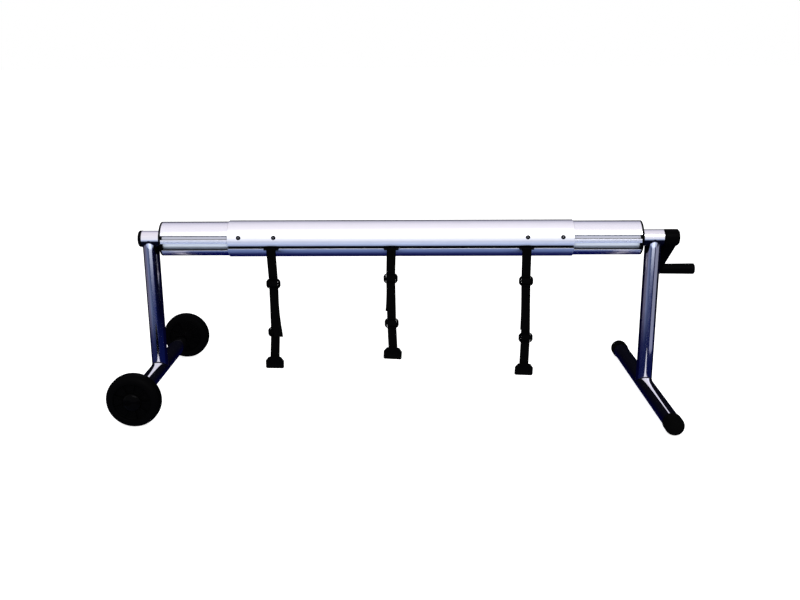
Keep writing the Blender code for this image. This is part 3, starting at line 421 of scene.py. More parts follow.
SLEEVE_STEEL = polished_stainless("stainless_sleeve", (0.02, 1, 1), 0.02, 0.05, "underside")
BAR_STEEL = polished_stainless("stainless_foot_bar", (1, 0.02, 1), 0.02, 0.06, "saddle")
POST_STEEL = polished_stainless("stainless_post", (1, 1, 0.05), 0.05, 0.15, "saddle")
WELD_STEEL = polished_stainless("stainless_weld", (1, 1, 1), 0.25, 0.40, "everywhere")


def straight_tube(place, axis, half):
    """A cut length of tube with its burrs taken off."""
    edge = STAND_RADIUS - CUT_EDGE
    profile = [(STAND_BORE, half), (edge, half), (STAND_RADIUS, half - CUT_EDGE)]
    profile += [(STAND_RADIUS, CUT_EDGE - half), (edge, -half), (STAND_BORE, -half), (STAND_BORE, half)]
    return revolve(profile, place, axis)


def saddle_ring(place, radius, height, top):
    """Where an upright tube round the place meets the sleeve above or the bar below, its axis at height."""
    points = []
    for step in range(TUBE_SIDES):
        angle = 2 * math.pi * step / TUBE_SIDES
        across = radius * math.cos(angle)
        deep = radius * math.sin(angle)
        away = deep if top else across
        rise = math.sqrt(max(SADDLE_FIT**2 - away**2, 0))
        points.append((place[0] + across, place[1] + deep, height - rise if top else height + rise))
    return points


def saddle_post(place, low, high):
    """An upright tube whose ends are cut to fit the bar below and the sleeve above, as thick as itself."""
    shape = bmesh.new()
    rings = []
    edges = ((STAND_RADIUS, True), (STAND_RADIUS, False), (STAND_BORE, False), (STAND_BORE, True))
    for radius, top in edges:
        points = saddle_ring(place, radius, high if top else low, top)
        rings.append([shape.verts.new(point) for point in points])
    for first, second in around_loop(rings):
        skin(shape, first, second)
    return mesh_from(shape)


def end_tree(tree, result, shape, material):
    """Ends a geometry nodes tree: its instances made real and its material set."""
    whole = add(tree, "GeometryNodeRealizeInstances", {"Geometry": shape})
    fill(tree, result, {0: add(tree, "GeometryNodeSetMaterial", {"Geometry": whole, "Material": material})})


def weld_tree():
    """Geometry nodes that lay a rippled weld bead along a closed line."""
    inputs = {"Line": "Geometry", "Width": "Float", "Ripple": "Float", "Metal": "Material"}
    tree, given, result = node_group("weld_bead", "GeometryNodeTree", inputs, {"Bead": "Geometry"})
    line = add(tree, "GeometryNodeMeshToCurve", {"Mesh": given["Line"]})
    spacing = calculate(tree, "DIVIDE", given["Ripple"], 4)
    line = add(tree, "GeometryNodeResampleCurve", {"Curve": line, "Length": spacing}, mode="LENGTH")
    along = add(tree, "GeometryNodeSplineParameter").outputs["Length"]
    turns = calculate(tree, "MULTIPLY", calculate(tree, "DIVIDE", along, given["Ripple"]), 2 * math.pi)
    swell = calculate(tree, "MULTIPLY_ADD", calculate(tree, "SINE", turns), 0.12, 1)
    radius = calculate(tree, "DIVIDE", given["Width"], 2)
    profile = add(tree, "GeometryNodeCurvePrimitiveCircle", {"Resolution": 8, "Radius": radius})
    bead = add(tree, "GeometryNodeCurveToMesh", {"Curve": line, "Profile Curve": profile, "Scale": swell})
    end_tree(tree, result, add(tree, "GeometryNodeSetShadeSmooth", {"Geometry": bead}), given["Metal"])
    return tree


def final_mesh(made):
    """The mesh of an object once its modifiers are done, as a mesh of its own. The object goes."""
    bpy.context.view_layer.update()
    evaluated = made.evaluated_get(bpy.context.evaluated_depsgraph_get())
    mesh = bpy.data.meshes.new_from_object(evaluated)
    bpy.data.objects.remove(made)
    return mesh


def grown(seed, tree, values, material):
    """Runs a geometry nodes tree on a seed mesh and gives its result as a plain mesh."""
    start = place_object("seed", seed, material)
    modifier = start.modifiers.new("tree", "NODES")
    modifier.node_group = tree
    for item in tree.interface.items_tree:
        if item.in_out == "INPUT" and item.name in values:
            modifier[item.identifier] = values[item.name]
    return final_mesh(start)


def finished(name, mesh, material, body, slot, *nodes):
    """Places a piece on its body, in place of the CAD nodes that it stands for. The slot is not used."""
    mesh.name = name
    made = place_object(name, mesh, material)
    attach(made, body)
    if nodes:
        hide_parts(*nodes)
    return made


WELD = weld_tree()
bead = {"Width": WELD_WIDTH, "Ripple": WELD_RIPPLE, "Metal": WELD_STEEL}

for side in ("left", "right"):
    body = f"{side}_stand"
    bar_centre, halves = measure(f"{side}_foot_bar")
    tube = straight_tube(bar_centre, (0, 1, 0), halves[1])
    finished(f"{side}_bar_tube", tube, BAR_STEEL, body, f"{side}_foot_bar", f"{side}_foot_bar")

    centre, halves = measure(f"{side}_sleeve")
    tube = straight_tube(centre, (1, 0, 0), halves[0])
    finished(f"{side}_sleeve_tube", tube, SLEEVE_STEEL, body, f"{side}_sleeve", f"{side}_sleeve")

    centre = measure(f"{side}_post")[0]
    tube = saddle_post(centre, bar_centre.z, AXIS.z)
    finished(f"{side}_post_tube", tube, POST_STEEL, body, f"{side}_post", f"{side}_post")

    for where, height in (("upper", AXIS.z), ("lower", bar_centre.z)):
        points = saddle_ring(centre, STAND_RADIUS, height, where == "upper")
        line = bpy.data.meshes.new("saddle")
        line.from_pydata(points, list(around_loop(list(range(len(points))))), [])
        weld = grown(line, WELD, bead, WELD_STEEL)
        finished(f"{side}_{where}_weld", weld, WELD_STEEL, body, f"{side}_post")

# Wheels of the left stand
# Two blow moulded black wheels, fat in the tread and ribbed in the hollow of each side. Each turns on a bolt
# that is screwed into a plastic plug in the bar's end, and a domed cap hides the bolt's head.
WHEEL_RADIUS = 0.071
WHEEL_HALF = 0.0225
WHEEL_SHOULDER = 0.017
WHEEL_WEB = 0.0145
WHEEL_RIM = 0.049
WHEEL_HUB = 0.024
WHEEL_BORE = 0.0054
CAP_POCKET = 0.008
CAP_WALL = 0.002
CAP_SEAT = 0.020
CAP_HEIGHT = 0.010
CAP_SPIGOT = 0.004
PARTING_GROOVE = 0.0004
RIB_COUNT = 9
RIB_THICKNESS = 0.0028
RIB_RISE = 0.0055
RIB_ROOT = 0.002
RIB_END = 0.003
JET_BLACK = (0.0006, 0.0006, 0.0008, 1)
DUST_COLOUR = (0.01, 0.01, 0.011, 1)
DUST = 0.04


def grain_group():
    """The fine pebble grain of a mould, with larger soft unevenness under it and a little dust on top."""
    inputs = {"Grain Scale": "Float", "Dust": "Float"}
    outputs = {"Height": "Float", "Unevenness": "Float", "Dust Mask": "Float"}
    tree, given, result = node_group("mould_grain", "ShaderNodeTree", inputs, outputs)
    place = add(tree, "ShaderNodeTexCoord").outputs
    pebble = {"Vector": place["Object"], "Scale": given["Grain Scale"]}
    soft = add(tree, "ShaderNodeTexNoise", {"Vector": place["Object"], "Scale": 45, "Detail": 4})
    fallen = remap(tree, upward_part(tree, place["Normal"]), 0, 1, 0.2, 1)
    patchy = calculate(tree, "MULTIPLY", fallen, soft)
    fill(tree, result, {
        "Height": add(tree, "ShaderNodeTexVoronoi", pebble, feature="SMOOTH_F1").outputs["Distance"],
        "Unevenness": soft,
        "Dust Mask": calculate(tree, "MULTIPLY", patchy, given["Dust"]),
    })
    return tree


MOULD_GRAIN = grain_group()


def moulded_black(name, grain_scale, grain_depth, rough_low, rough_high, specular=0.015, colour=JET_BLACK):
    """Black plastic or rubber straight from a grained mould."""
    made, tree, shader = new_material(name)
    grain = {"Grain Scale": grain_scale, "Dust": DUST}
    grain = add(tree, "ShaderNodeGroup", grain, node_tree=MOULD_GRAIN).outputs
    fill(tree, shader, {
        "Base Color": blend(tree, grain["Dust Mask"], colour, DUST_COLOUR),
        "Roughness": remap(tree, grain["Unevenness"], rough_low, rough_high),
        "Normal": bump(tree, grain["Height"], grain_depth),
        "Specular IOR Level": specular,
    })
    return made


WHEEL_PLASTIC = moulded_black("wheel_plastic", 900, 0.00006, 0.42, 0.62)
CAP_PLASTIC = moulded_black("hub_cap_plastic", 300, 0.00001, 0.12, 0.18, 0.02)


def rib_tree():
    """Geometry nodes that stand ribs round an axle along Y, through the web and proud of both its sides."""
    inputs = {
        "Wheel": "Geometry", "Count": "Int", "Inner Radius": "Float", "Outer Radius": "Float",
        "Thickness": "Float", "Half Width": "Float", "Axle": "Vector", "Plastic": "Material",
    }
    tree, given, result = node_group("wheel_ribs", "GeometryNodeTree", inputs, {"Ribbed Wheel": "Geometry"})
    inner = given["Inner Radius"]
    outer = given["Outer Radius"]
    middle = calculate(tree, "MULTIPLY", calculate(tree, "ADD", outer, inner), 0.5)
    size = add(tree, "ShaderNodeCombineXYZ", {
        "X": calculate(tree, "SUBTRACT", outer, inner),
        "Y": calculate(tree, "MULTIPLY", given["Half Width"], 2),
        "Z": given["Thickness"],
    })
    rib = add(tree, "GeometryNodeMeshCube", {"Size": size})
    points = add(tree, "GeometryNodeMeshLine", {"Count": given["Count"]})
    share = calculate(tree, "DIVIDE", add(tree, "GeometryNodeInputIndex"), given["Count"])
    angle = calculate(tree, "MULTIPLY", share, 2 * math.pi)
    spot = add(tree, "ShaderNodeCombineXYZ", {
        "X": calculate(tree, "MULTIPLY", calculate(tree, "COSINE", angle), middle),
        "Z": calculate(tree, "MULTIPLY", calculate(tree, "SINE", angle), middle),
    })
    spot = vector_step(tree, "ADD", spot, given["Axle"])
    points = add(tree, "GeometryNodeSetPosition", {"Geometry": points, "Position": spot})
    turn = add(tree, "ShaderNodeCombineXYZ", {"Y": calculate(tree, "MULTIPLY", angle, -1)})
    ribs = add(tree, "GeometryNodeInstanceOnPoints", {"Points": points, "Instance": rib, "Rotation": turn})
    both = add(tree, "GeometryNodeJoinGeometry", {"Geometry": ribs})
    fill(tree, both, {"Geometry": given["Wheel"]})
    end_tree(tree, result, both, given["Plastic"])
    return tree


RIBS = rib_tree()


def rounded(corners, steps=4):
    """A profile's points with each corner (radius, height, rounding) turned into a small arc."""
    points = []
    for index, (radius, height, rounding) in enumerate(corners):
        here = Vector((radius, height))
        if rounding <= 0 or index in (0, len(corners) - 1):
            points.append((radius, height))
            continue
        before = (Vector(corners[index - 1][:2]) - here).normalized()
        after = (Vector(corners[index + 1][:2]) - here).normalized()
        half = before.angle(after) / 2
        reach = rounding / math.tan(half)
        centre = here + (before + after).normalized() * rounding / math.sin(half)
        start = here + before * reach - centre
        end = here + after * reach - centre
        for step in range(steps + 1):
            arm = start.lerp(end, step / steps).normalized() * rounding
            points.append(tuple(centre + arm))
    return points


def arc(centre, radius, start, end, steps):
    """Points of a profile's arc about (radius, height), from one angle to another in degrees."""
    points = []
    for step in range(steps + 1):
        angle = math.radians(start + (end - start) * step / steps)
        points.append((centre[0] + radius * math.sin(angle), centre[1] + radius * math.cos(angle)))
    return points


def dome(radius, seat, rise, steps):
    """Points of a profile's flat dome, from its top down to its rim, which is at the seat's height."""
    points = [(0, seat + rise)]
    for step in range(1, steps + 1):
        angle = math.radians(90 - 90 * step / steps)
        points.append((radius * math.cos(angle), seat + rise * math.sin(angle)))
    return points


ENDS = (("front", -1), ("rear", 1))
outer_face = rounded([
    (WHEEL_BORE, WHEEL_HALF - CAP_POCKET, 0),
    (CAP_SEAT, WHEEL_HALF - CAP_POCKET, 0.0003),
    (CAP_SEAT, WHEEL_HALF - CAP_WALL, 0.0003),
    (WHEEL_HUB, WHEEL_HALF - CAP_WALL, 0.0008),
    (WHEEL_HUB, WHEEL_WEB, 0.0015),
    (WHEEL_RIM, WHEEL_WEB, 0.003),
    (WHEEL_RIM, WHEEL_HALF, 0.0016),
    (WHEEL_RADIUS - WHEEL_SHOULDER, WHEEL_HALF, 0),
])
inner_face = rounded([
    (WHEEL_RADIUS - WHEEL_SHOULDER, -WHEEL_HALF, 0),
    (WHEEL_RIM, -WHEEL_HALF, 0.0016),
    (WHEEL_RIM, -WHEEL_WEB, 0.003),
    (WHEEL_HUB, -WHEEL_WEB, 0.0015),
    (WHEEL_HUB, -WHEEL_HALF, 0.0008),
    (WHEEL_BORE, -WHEEL_HALF, 0),
])
shoulder = (WHEEL_RADIUS - WHEEL_SHOULDER, WHEEL_HALF - WHEEL_SHOULDER)
wheel_profile = outer_face + arc(shoulder, WHEEL_SHOULDER, 0, 90, 14)[1:]
wheel_profile += [
    (WHEEL_RADIUS, PARTING_GROOVE),
    (WHEEL_RADIUS - PARTING_GROOVE, 0),
    (WHEEL_RADIUS, -PARTING_GROOVE),
]
wheel_profile += arc((shoulder[0], -shoulder[1]), WHEEL_SHOULDER, 90, 180, 14)[:-1] + inner_face
wheel_profile.append(wheel_profile[0])

seat = WHEEL_HALF - CAP_WALL + FIT
cap_profile = dome(WHEEL_HUB, seat, CAP_HEIGHT - FIT, 18)
cap_profile += [(CAP_SEAT - FIT, seat), (CAP_SEAT - FIT, seat - CAP_SPIGOT), (0, seat - CAP_SPIGOT)]

for end, outward in ENDS:
    axle = measure(f"{end}_wheel")[0]
    values = {
        "Count": RIB_COUNT,
        "Inner Radius": WHEEL_HUB - RIB_ROOT,
        "Outer Radius": WHEEL_RIM + RIB_END,
        "Thickness": RIB_THICKNESS,
        "Half Width": WHEEL_WEB + RIB_RISE,
        "Axle": tuple(axle),
        "Plastic": WHEEL_PLASTIC,
    }
    wheel = grown(revolve(wheel_profile, axle, (0, outward, 0)), RIBS, values, WHEEL_PLASTIC)
    finished(f"{end}_moulded_wheel", wheel, WHEEL_PLASTIC, f"{end}_wheel", "wheel", f"{end}_wheel")
    cap = revolve(cap_profile, axle, (0, outward, 0))
    finished(f"{end}_domed_cap", cap, CAP_PLASTIC, f"{end}_wheel", "hub_cap", f"{end}_hub_cap")

# Reel
# Three drawn aluminium tubes make the roller. The middle one has a T-slot below for the straps' anchors. The
# inner two slide in it, each with a groove for the screws and a recess that clears the slot.
TUBE_RADIUS = 0.050
TUBE_SKIN = 0.002
TUBE_END_EDGE = 0.0005
INNER_RADIUS = 0.047
SLOT_ANGLE = math.radians(-19.3)
SLOT_HALF = 0.0042
SLOT_LIP = 0.0478
SLOT_ROUNDING = 0.0006
CAVITY_HALF = 0.0079
CAVITY_FLOOR = 0.0405
CHANNEL_BACK_HALF = 0.0091
CHANNEL_BACK = 0.0387
GROOVE_ANGLE = math.radians(12.5)
GROOVE_HALF = 0.0038
GROOVE_SLANT = 0.0020
GROOVE_FLOOR = 0.0435
RECESS_ANGLE = math.radians(-20.8)
RECESS_HALF = 0.0104
RECESS_FLOOR = 0.0377
RECESS_BOW = 0.0020
SECTION_STEP = math.radians(2)
# Painted shade in the channels: how far their walls go towards the dark colour below, and that colour
WALL_SHADE = 0.95
CHANNEL_SHADE_COLOUR = (0.006, 0.006, 0.010)


def filleted(points, fillets, steps=5):
    """An open line of flat points with arcs in place of the corners that have a rounding."""
    corners = [(across, out, fillets.get(index, 0)) for index, (across, out) in enumerate(points)]
    return rounded(corners, steps)


def section(radius, notches):
    """A tube's outline as (forward, up) points. A notch is its angle, and its points from upper to lower."""
    points = []
    spans = []
    for angle, line in notches:
        upper = math.asin(line[0][0] / radius)
        lower = math.asin(line[-1][0] / radius)
        spans.append((angle + lower, angle + upper, angle, line))
    spans.sort()
    cursor = spans[-1][1] - 2 * math.pi
    for low, high, angle, line in spans:
        count = max(2, round((low - cursor) / SECTION_STEP))
        for step in range(1, count):
            turn = cursor + (low - cursor) * step / count
            points.append((radius * math.cos(turn), radius * math.sin(turn)))
        for across, out in reversed(line):
            forward = out * math.cos(angle) - across * math.sin(angle)
            points.append((forward, out * math.sin(angle) + across * math.cos(angle)))
        cursor = high
    return points


def mirrored(side):
    """A notch's whole line from the points of its upper half."""
    return side + [(-across, out) for across, out in reversed(side)]


def on_rim(radius, across):
    return across, math.sqrt(radius**2 - across**2)


def extrusion(outside, inside, low, high, radius):
    """A drawn tube between two places along the reel, with its outer edge broken at both ends."""
    shape = bmesh.new()

    def ring(points, along, shrink=0.0):
        made = []
        for forward, up in points:
            reach = math.hypot(forward, up)
            scale = (reach - shrink) / reach if abs(reach - radius) < 0.0002 else 1
            made.append(shape.verts.new((along, AXIS.y - forward * scale, AXIS.z + up * scale)))
        return made

    edge = TUBE_END_EDGE
    outer = [ring(outside, low, edge), ring(outside, low + edge)]
    outer += [ring(outside, high - edge), ring(outside, high, edge)]
    inner = [ring(inside, low), ring(inside, high)]
    for first, second in zip(outer, outer[1:]):
        skin(shape, first, second)
    skin(shape, inner[1], inner[0])
    for pair in ((outer[0], inner[0]), (outer[-1], inner[1])):
        edges = [shape.edges.get(ends) for loop in pair for ends in around_loop(loop)]
        bmesh.ops.triangle_fill(shape, edges=edges, use_beauty=True)
    return mesh_from(shape, crease=30)


slot_side = filleted(
    [
        on_rim(TUBE_RADIUS, SLOT_HALF + 0.0025),
        on_rim(TUBE_RADIUS, SLOT_HALF),
        (SLOT_HALF, SLOT_LIP),
        (CAVITY_HALF, SLOT_LIP),
        (CAVITY_HALF, CAVITY_FLOOR),
        (0, CAVITY_FLOOR),
    ],
    {1: SLOT_ROUNDING, 2: 0.0003, 3: 0.0004, 4: 0.0004},
)
back_side = filleted(
    [
        on_rim(TUBE_RADIUS - TUBE_SKIN, CHANNEL_BACK_HALF),
        (CHANNEL_BACK_HALF, CHANNEL_BACK),
        (0, CHANNEL_BACK),
    ],
    {1: 0.0004},
)
CENTRE_OUTSIDE = section(TUBE_RADIUS, [(SLOT_ANGLE, mirrored(slot_side[:-1]))])
CENTRE_INSIDE = section(TUBE_RADIUS - TUBE_SKIN, [(SLOT_ANGLE, mirrored(back_side[:-1]))])


def inner_section(radius, grown_by):
    """An inner tube's outline with its groove and bowed recess, outside or, grown by the wall, inside."""
    groove = GROOVE_HALF + grown_by
    groove_side = filleted(
        [
            on_rim(radius, groove + GROOVE_SLANT + 0.002),
            on_rim(radius, groove + GROOVE_SLANT),
            (groove, GROOVE_FLOOR - grown_by),
            (0, GROOVE_FLOOR - grown_by),
        ],
        {1: 0.0004, 2: 0.0004},
    )
    recess = RECESS_HALF + grown_by
    floor = RECESS_FLOOR - grown_by
    edge = floor - RECESS_BOW
    recess_side = filleted(
        [
            on_rim(radius, recess + 0.002),
            on_rim(radius, recess),
            (recess, edge),
            (recess - 0.0015, edge + 0.0006),
        ],
        {1: 0.0010, 2: 0.0004},
    )
    for step in range(1, 8):
        across = (recess - 0.0015) * (1 - step / 8)
        recess_side.append((across, floor - RECESS_BOW * (across / recess) ** 2))
    notches = [(GROOVE_ANGLE, mirrored(groove_side[:-1])), (RECESS_ANGLE, mirrored(recess_side))]
    return section(radius, notches)


INNER_OUTSIDE = inner_section(INNER_RADIUS, 0)
INNER_INSIDE = inner_section(INNER_RADIUS - TUBE_SKIN, TUBE_SKIN)


# These masks place the painted shade in the tubes' channels.
def sunk_group():
    """Masks for the walls and the depth below a tube's skin, and each place's slope from 0 down to 1 up."""
    inputs = {"Axis Place": "Vector", "Skin Radius": "Float"}
    outputs = {"Walls": "Float", "Depth": "Float", "Slope": "Float"}
    tree, given, result = node_group("sunk_places", "ShaderNodeTree", inputs, outputs)
    place = add(tree, "ShaderNodeTexCoord").outputs
    flat = across_axis(tree, place["Object"], given["Axis Place"])
    facing = vector_step(tree, "MULTIPLY", place["Normal"], (0, 1, 1))
    outward = vector_step(tree, "DOT_PRODUCT", facing, vector_step(tree, "NORMALIZE", flat))
    aside = calculate(tree, "SUBTRACT", vector_step(tree, "LENGTH", facing), outward)
    below = calculate(tree, "SUBTRACT", given["Skin Radius"], vector_step(tree, "LENGTH", flat))
    walls = remap(tree, aside, 0, 1, 0.10, 0.60)
    sunk = remap(tree, below, 0, 1, 0.00015, 0.00045)
    fill(tree, result, {
        "Walls": calculate(tree, "MULTIPLY", walls, sunk),
        "Depth": remap(tree, below, 0, 1, 0.0005, 0.0025),
        "Slope": remap(tree, upward_part(tree, place["Normal"]), 0, 1, -1, 1),
    })
    return tree


SUNK_PLACES = sunk_group()


def sunk_places(tree, skin_radius):
    """The masks of a round piece about the reel's axis, with its skin at the radius."""
    inputs = {"Axis Place": AXIS, "Skin Radius": skin_radius}
    return add(tree, "ShaderNodeGroup", inputs, node_tree=SUNK_PLACES).outputs


def drawn_aluminium(name, rough_low, rough_high, skin_radius, skin_colour, floor):
    """Anodised aluminium with the die's fine lines along it, with painted shade in its channels.

    The channels' walls are painted dark, and their floors have painted shade by how far they face down, at
    -1, or up, at 1.
    """
    made, tree, shader = new_material(name)
    lines = rubbed(tree, (0.01, 1, 1), 1400)
    sunk = sunk_places(tree, skin_radius)
    # Painted shade: the channels darken below the skin, and their walls darken further.
    lower = blend(tree, sunk["Depth"], (*skin_colour, 1), shade_by(tree, sunk["Slope"], floor))
    clean = blend(tree, remap(tree, sunk["Walls"], 0, WALL_SHADE), lower, (*CHANNEL_SHADE_COLOUR, 1))
    fill(tree, shader, {
        "Base Color": blend(tree, lines["Clouds"], clean, (0.94, 0.94, 0.94, 1), blend_type="MULTIPLY"),
        "Metallic": remap(tree, sunk["Depth"], 1, 0.25),
        "Roughness": remap(tree, lines["Clouds"], rough_low, rough_high),
        "Normal": bump(tree, lines["Lines"], 0.00001, 0.4),
    })
    return made


SATIN_SKIN = (0.93, 0.93, 0.97)
# The middle tube's T-slot is painted dark all over as shade
SATIN_CHANNEL_SHADE = ((-1, CHANNEL_SHADE_COLOUR), (1, CHANNEL_SHADE_COLOUR))
INNER_SKIN = (0.91, 0.91, 0.96)
# The inner tubes' channel floors as painted shade: darkest facing down, greyer facing up, near the skin's
# colour facing a little down
INNER_CHANNEL_SHADE = (
    (-1, (0.05, 0.07, 0.12)), (-0.62, (0.08, 0.11, 0.17)), (-0.30, (0.80, 0.88, 1.0)),
    (-0.15, (0.80, 0.88, 1.0)), (0.10, (0.38, 0.39, 0.46)), (0.35, (0.44, 0.45, 0.52)),
)
SATIN_ALUMINIUM = drawn_aluminium("satin_aluminium", 0.26, 0.33, TUBE_RADIUS, SATIN_SKIN, SATIN_CHANNEL_SHADE)
INNER_ALUMINIUM = drawn_aluminium("inner_aluminium", 0.18, 0.25, INNER_RADIUS, INNER_SKIN, INNER_CHANNEL_SHADE)

tube = extrusion(CENTRE_OUTSIDE, CENTRE_INSIDE, reel_low.x, reel_high.x, TUBE_RADIUS)
finished("middle_tube", tube, SATIN_ALUMINIUM, "centre_reel", "centre_tube", "centre_tube")

for side in ("left", "right"):
    node = f"{side}_inner_tube"
    low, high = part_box(node)
    tube = extrusion(INNER_OUTSIDE, INNER_INSIDE, low.x, high.x, INNER_RADIUS)
    finished(f"{side}_sliding_tube", tube, INNER_ALUMINIUM, f"{side}_reel", "inner_tube", node)

# Tube screws
# Four pan head screws of blackened steel hold the telescope: they pass through the middle tube and press
# in the inner ones' grooves. Each has a cross recess, sits on the tube's skin and is rubbed bright on top.
SCREW_HEAD_RADIUS = 0.0062
SCREW_HEAD_HEIGHT = 0.003
SCREW_RIM = 0.25
SCREW_SHANK = 0.0024
SCREW_TIP = 0.0438
CROSS_LENGTH = 0.0058
CROSS_WIDTH = 0.0013
CROSS_DEPTH = 0.0016
SCREW_SEED = 11
SCREW_WAY = Vector((0, -math.cos(GROOVE_ANGLE), math.sin(GROOVE_ANGLE)))


def carve(solid, others):
    """Joins solids to a mesh or cuts them from it. Each of the others is a mesh and UNION or DIFFERENCE."""
    base = bpy.data.objects.new("carved", solid)
    SCENE.collection.objects.link(base)
    tools = []
    for mesh, operation in others:
        tool = bpy.data.objects.new("tool", mesh)
        SCENE.collection.objects.link(tool)
        step = base.modifiers.new("carve", "BOOLEAN")
        step.operation = operation
        step.solver = "EXACT"
        step.object = tool
        tools.append(tool)
    result = final_mesh(base)
    for tool in tools:
        bpy.data.objects.remove(tool)
    shape = bmesh.new()
    shape.from_mesh(result)
    bmesh.ops.remove_doubles(shape, verts=shape.verts, dist=0.000005)
    shape.to_mesh(result)
    shape.free()
    smooth_shade(result)
    return result


def block(size, centre, turn=None):
    """A plain block, used only to cut or join other shapes."""
    shape = bmesh.new()
    bmesh.ops.create_cube(shape, size=1)
    for corner in shape.verts:
        place = Vector([part * length for part, length in zip(corner.co, size)]) + Vector(centre)
        corner.co = turn @ place if turn else place
    return plain_mesh(shape)


def worn_screw_steel():
    """Blackened steel, rubbed bright in the middle of the head, where it faces straight out of the tube."""
    made, tree, shader = new_material("tube_screw_steel")
    place = add(tree, "ShaderNodeTexCoord").outputs
    facing = vector_step(tree, "DOT_PRODUCT", place["Normal"], SCREW_WAY)
    flat_top = remap(tree, facing, 0, 1, 0.9925, 0.9975)
    sunk = sunk_places(tree, TUBE_RADIUS + SCREW_HEAD_HEIGHT)["Depth"]
    bright = {0: sunk, 1: -5, 2: flat_top}
    bright = add(tree, "ShaderNodeMath", bright, operation="MULTIPLY_ADD", use_clamp=True)
    grain = add(tree, "ShaderNodeTexNoise", {"Vector": place["Object"], "Scale": 900})
    fill(tree, shader, {
        "Base Color": blend(tree, bright, (0.004, 0.004, 0.006, 1), (0.85, 0.85, 0.88, 1)),
        "Metallic": 1.0,
        "Roughness": remap(tree, grain, 0.14, 0.34),
    })
    return made


SCREW_STEEL = worn_screw_steel()


def pan_head_screw():
    """One screw about the Z axis, with the underside of its head at height 0."""
    rim = SCREW_RIM * SCREW_HEAD_HEIGHT
    profile = dome(SCREW_HEAD_RADIUS, rim, SCREW_HEAD_HEIGHT - rim, 8)
    low = SCREW_TIP - TUBE_RADIUS
    profile += [(SCREW_HEAD_RADIUS, 0), (SCREW_SHANK, 0), (SCREW_SHANK, low), (0, low)]
    height = SCREW_HEAD_HEIGHT - CROSS_DEPTH / 2 + 0.0005
    cuts = []
    for length, width in ((CROSS_LENGTH, CROSS_WIDTH), (CROSS_WIDTH, CROSS_LENGTH)):
        cuts.append((block((length, width, CROSS_DEPTH + 0.001), (0, 0, height)), "DIFFERENCE"))
    return carve(revolve(profile, (0, 0, 0), (0, 0, 1), sides=32), cuts)


def scatter_tree():
    """Geometry nodes that set a screw on every point, leant to the tube's side and turned by chance."""
    inputs = {"Points": "Geometry", "Screw": "Object", "Lean": "Float", "Seed": "Int", "Metal": "Material"}
    tree, given, result = node_group("set_screws", "GeometryNodeTree", inputs, {"Screws": "Geometry"})
    source = add(tree, "GeometryNodeObjectInfo", {"Object": given["Screw"]}).outputs["Geometry"]
    driven = add(tree, "FunctionNodeRandomValue", {"Max": math.pi / 2, "Seed": given["Seed"]})
    driven = add(tree, "ShaderNodeCombineXYZ", {"Z": driven})
    lean = add(tree, "ShaderNodeCombineXYZ", {"X": given["Lean"]})
    turns = [add(tree, "FunctionNodeEulerToRotation", {0: turn}) for turn in (driven, lean)]
    turn = add(tree, "FunctionNodeRotateRotation", dict(enumerate(turns)))
    screws = {"Points": given["Points"], "Instance": source, "Rotation": turn}
    end_tree(tree, result, add(tree, "GeometryNodeInstanceOnPoints", screws), given["Metal"])
    return tree


one_screw = bpy.data.objects.new("one_screw", pan_head_screw())
SCENE.collection.objects.link(one_screw)
screw_nodes = [f"{side}_{which}_screw" for side in ("left", "right") for which in ("outer", "inner")]
places = []
for node in screw_nodes:
    low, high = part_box(node)
    along = (low.x + high.x) / 2
    places.append(Vector((along, AXIS.y, AXIS.z)) + SCREW_WAY * (TUBE_RADIUS + FIT))
seats = bpy.data.meshes.new("screw_seats")
seats.from_pydata(places, [], [])
values = {"Screw": one_screw, "Lean": math.pi / 2 - GROOVE_ANGLE, "Seed": SCREW_SEED, "Metal": SCREW_STEEL}
screws = grown(seats, scatter_tree(), values, SCREW_STEEL)
bpy.data.objects.remove(one_screw)
finished("tube_screws", screws, SCREW_STEEL, "centre_reel", "hardware", *screw_nodes)

# Plugs, bushes and caps
# Black nylon mouldings close the tubes: plugs in the reel's ends and the wheeled foot bar, flanged bushes
# for the shafts and a cap on the left sleeve. The right foot bar ends in two thick rubber feet.
SHAFT_BORE = 0.0129
BUSH_FLANGE = 0.0025
BUSH_DEPTH = 0.015
PLUG_FLANGE = 0.005
PLUG_DEPTH = 0.040
PLUG_BOSS_RADIUS = 0.018
PLUG_BOSS_HEIGHT = 0.003
PLUG_DISH = 0.0012
PLUG_DISH_RADIUS = 0.0405
PLUG_RIM_RADIUS = 0.0415
PLUG_SPIGOT = 0.0345
PLUG_LUG = 0.0045
LUG_OVERLAP = 0.001
SLEEVE_CAP_ROUNDING = 0.004
SLEEVE_CAP_DEPTH = 0.006
SLEEVE_SKIRT = 0.0228
SKIRT_REACH = 0.0035
BAR_PLUG_BORE = 0.0053
BAR_PLUG_DEPTH = 0.022
FOOT_RADIUS = 0.025
FOOT_SLEEVE = 0.024
FOOT_LIP = 0.0012
FOOT_BLACK = (0.0012, 0.0012, 0.0012, 1)
CAP_BLACK = (0.0012, 0.0012, 0.002, 1)
BLACK_NYLON = moulded_black("black_nylon", 1200, 0.00004, 0.40, 0.55)
RUBBER = moulded_black("foot_rubber", 1500, 0.00005, 0.62, 0.85, colour=FOOT_BLACK)
SLEEVE_CAP_PLASTIC = moulded_black("sleeve_cap_plastic", 400, 0.00001, 0.2, 0.3, 0.02, CAP_BLACK)


def turned_part(name, corners, place, axis, material, body, slot, node):
    """A turned or moulded round piece with softened corners that stands for one CAD node."""
    return finished(name, revolve(rounded(corners), place, axis), material, body, slot, node)


def flanged(bore, face, seat, depth, mouth, rim, tip):
    """A hollow plug for a stand tube, from its bore, the heights of its face, of its seat on the tube's end
    and of its inner end, and the roundings of its mouth, rim and tip.
    """
    inside = STAND_BORE - FIT
    outer = [(bore, depth, 0), (bore, face, mouth), (STAND_RADIUS, face, rim), (STAND_RADIUS, seat, 0.0003)]
    return outer + [(inside, seat, 0), (inside, depth, tip), (bore, depth, 0)]


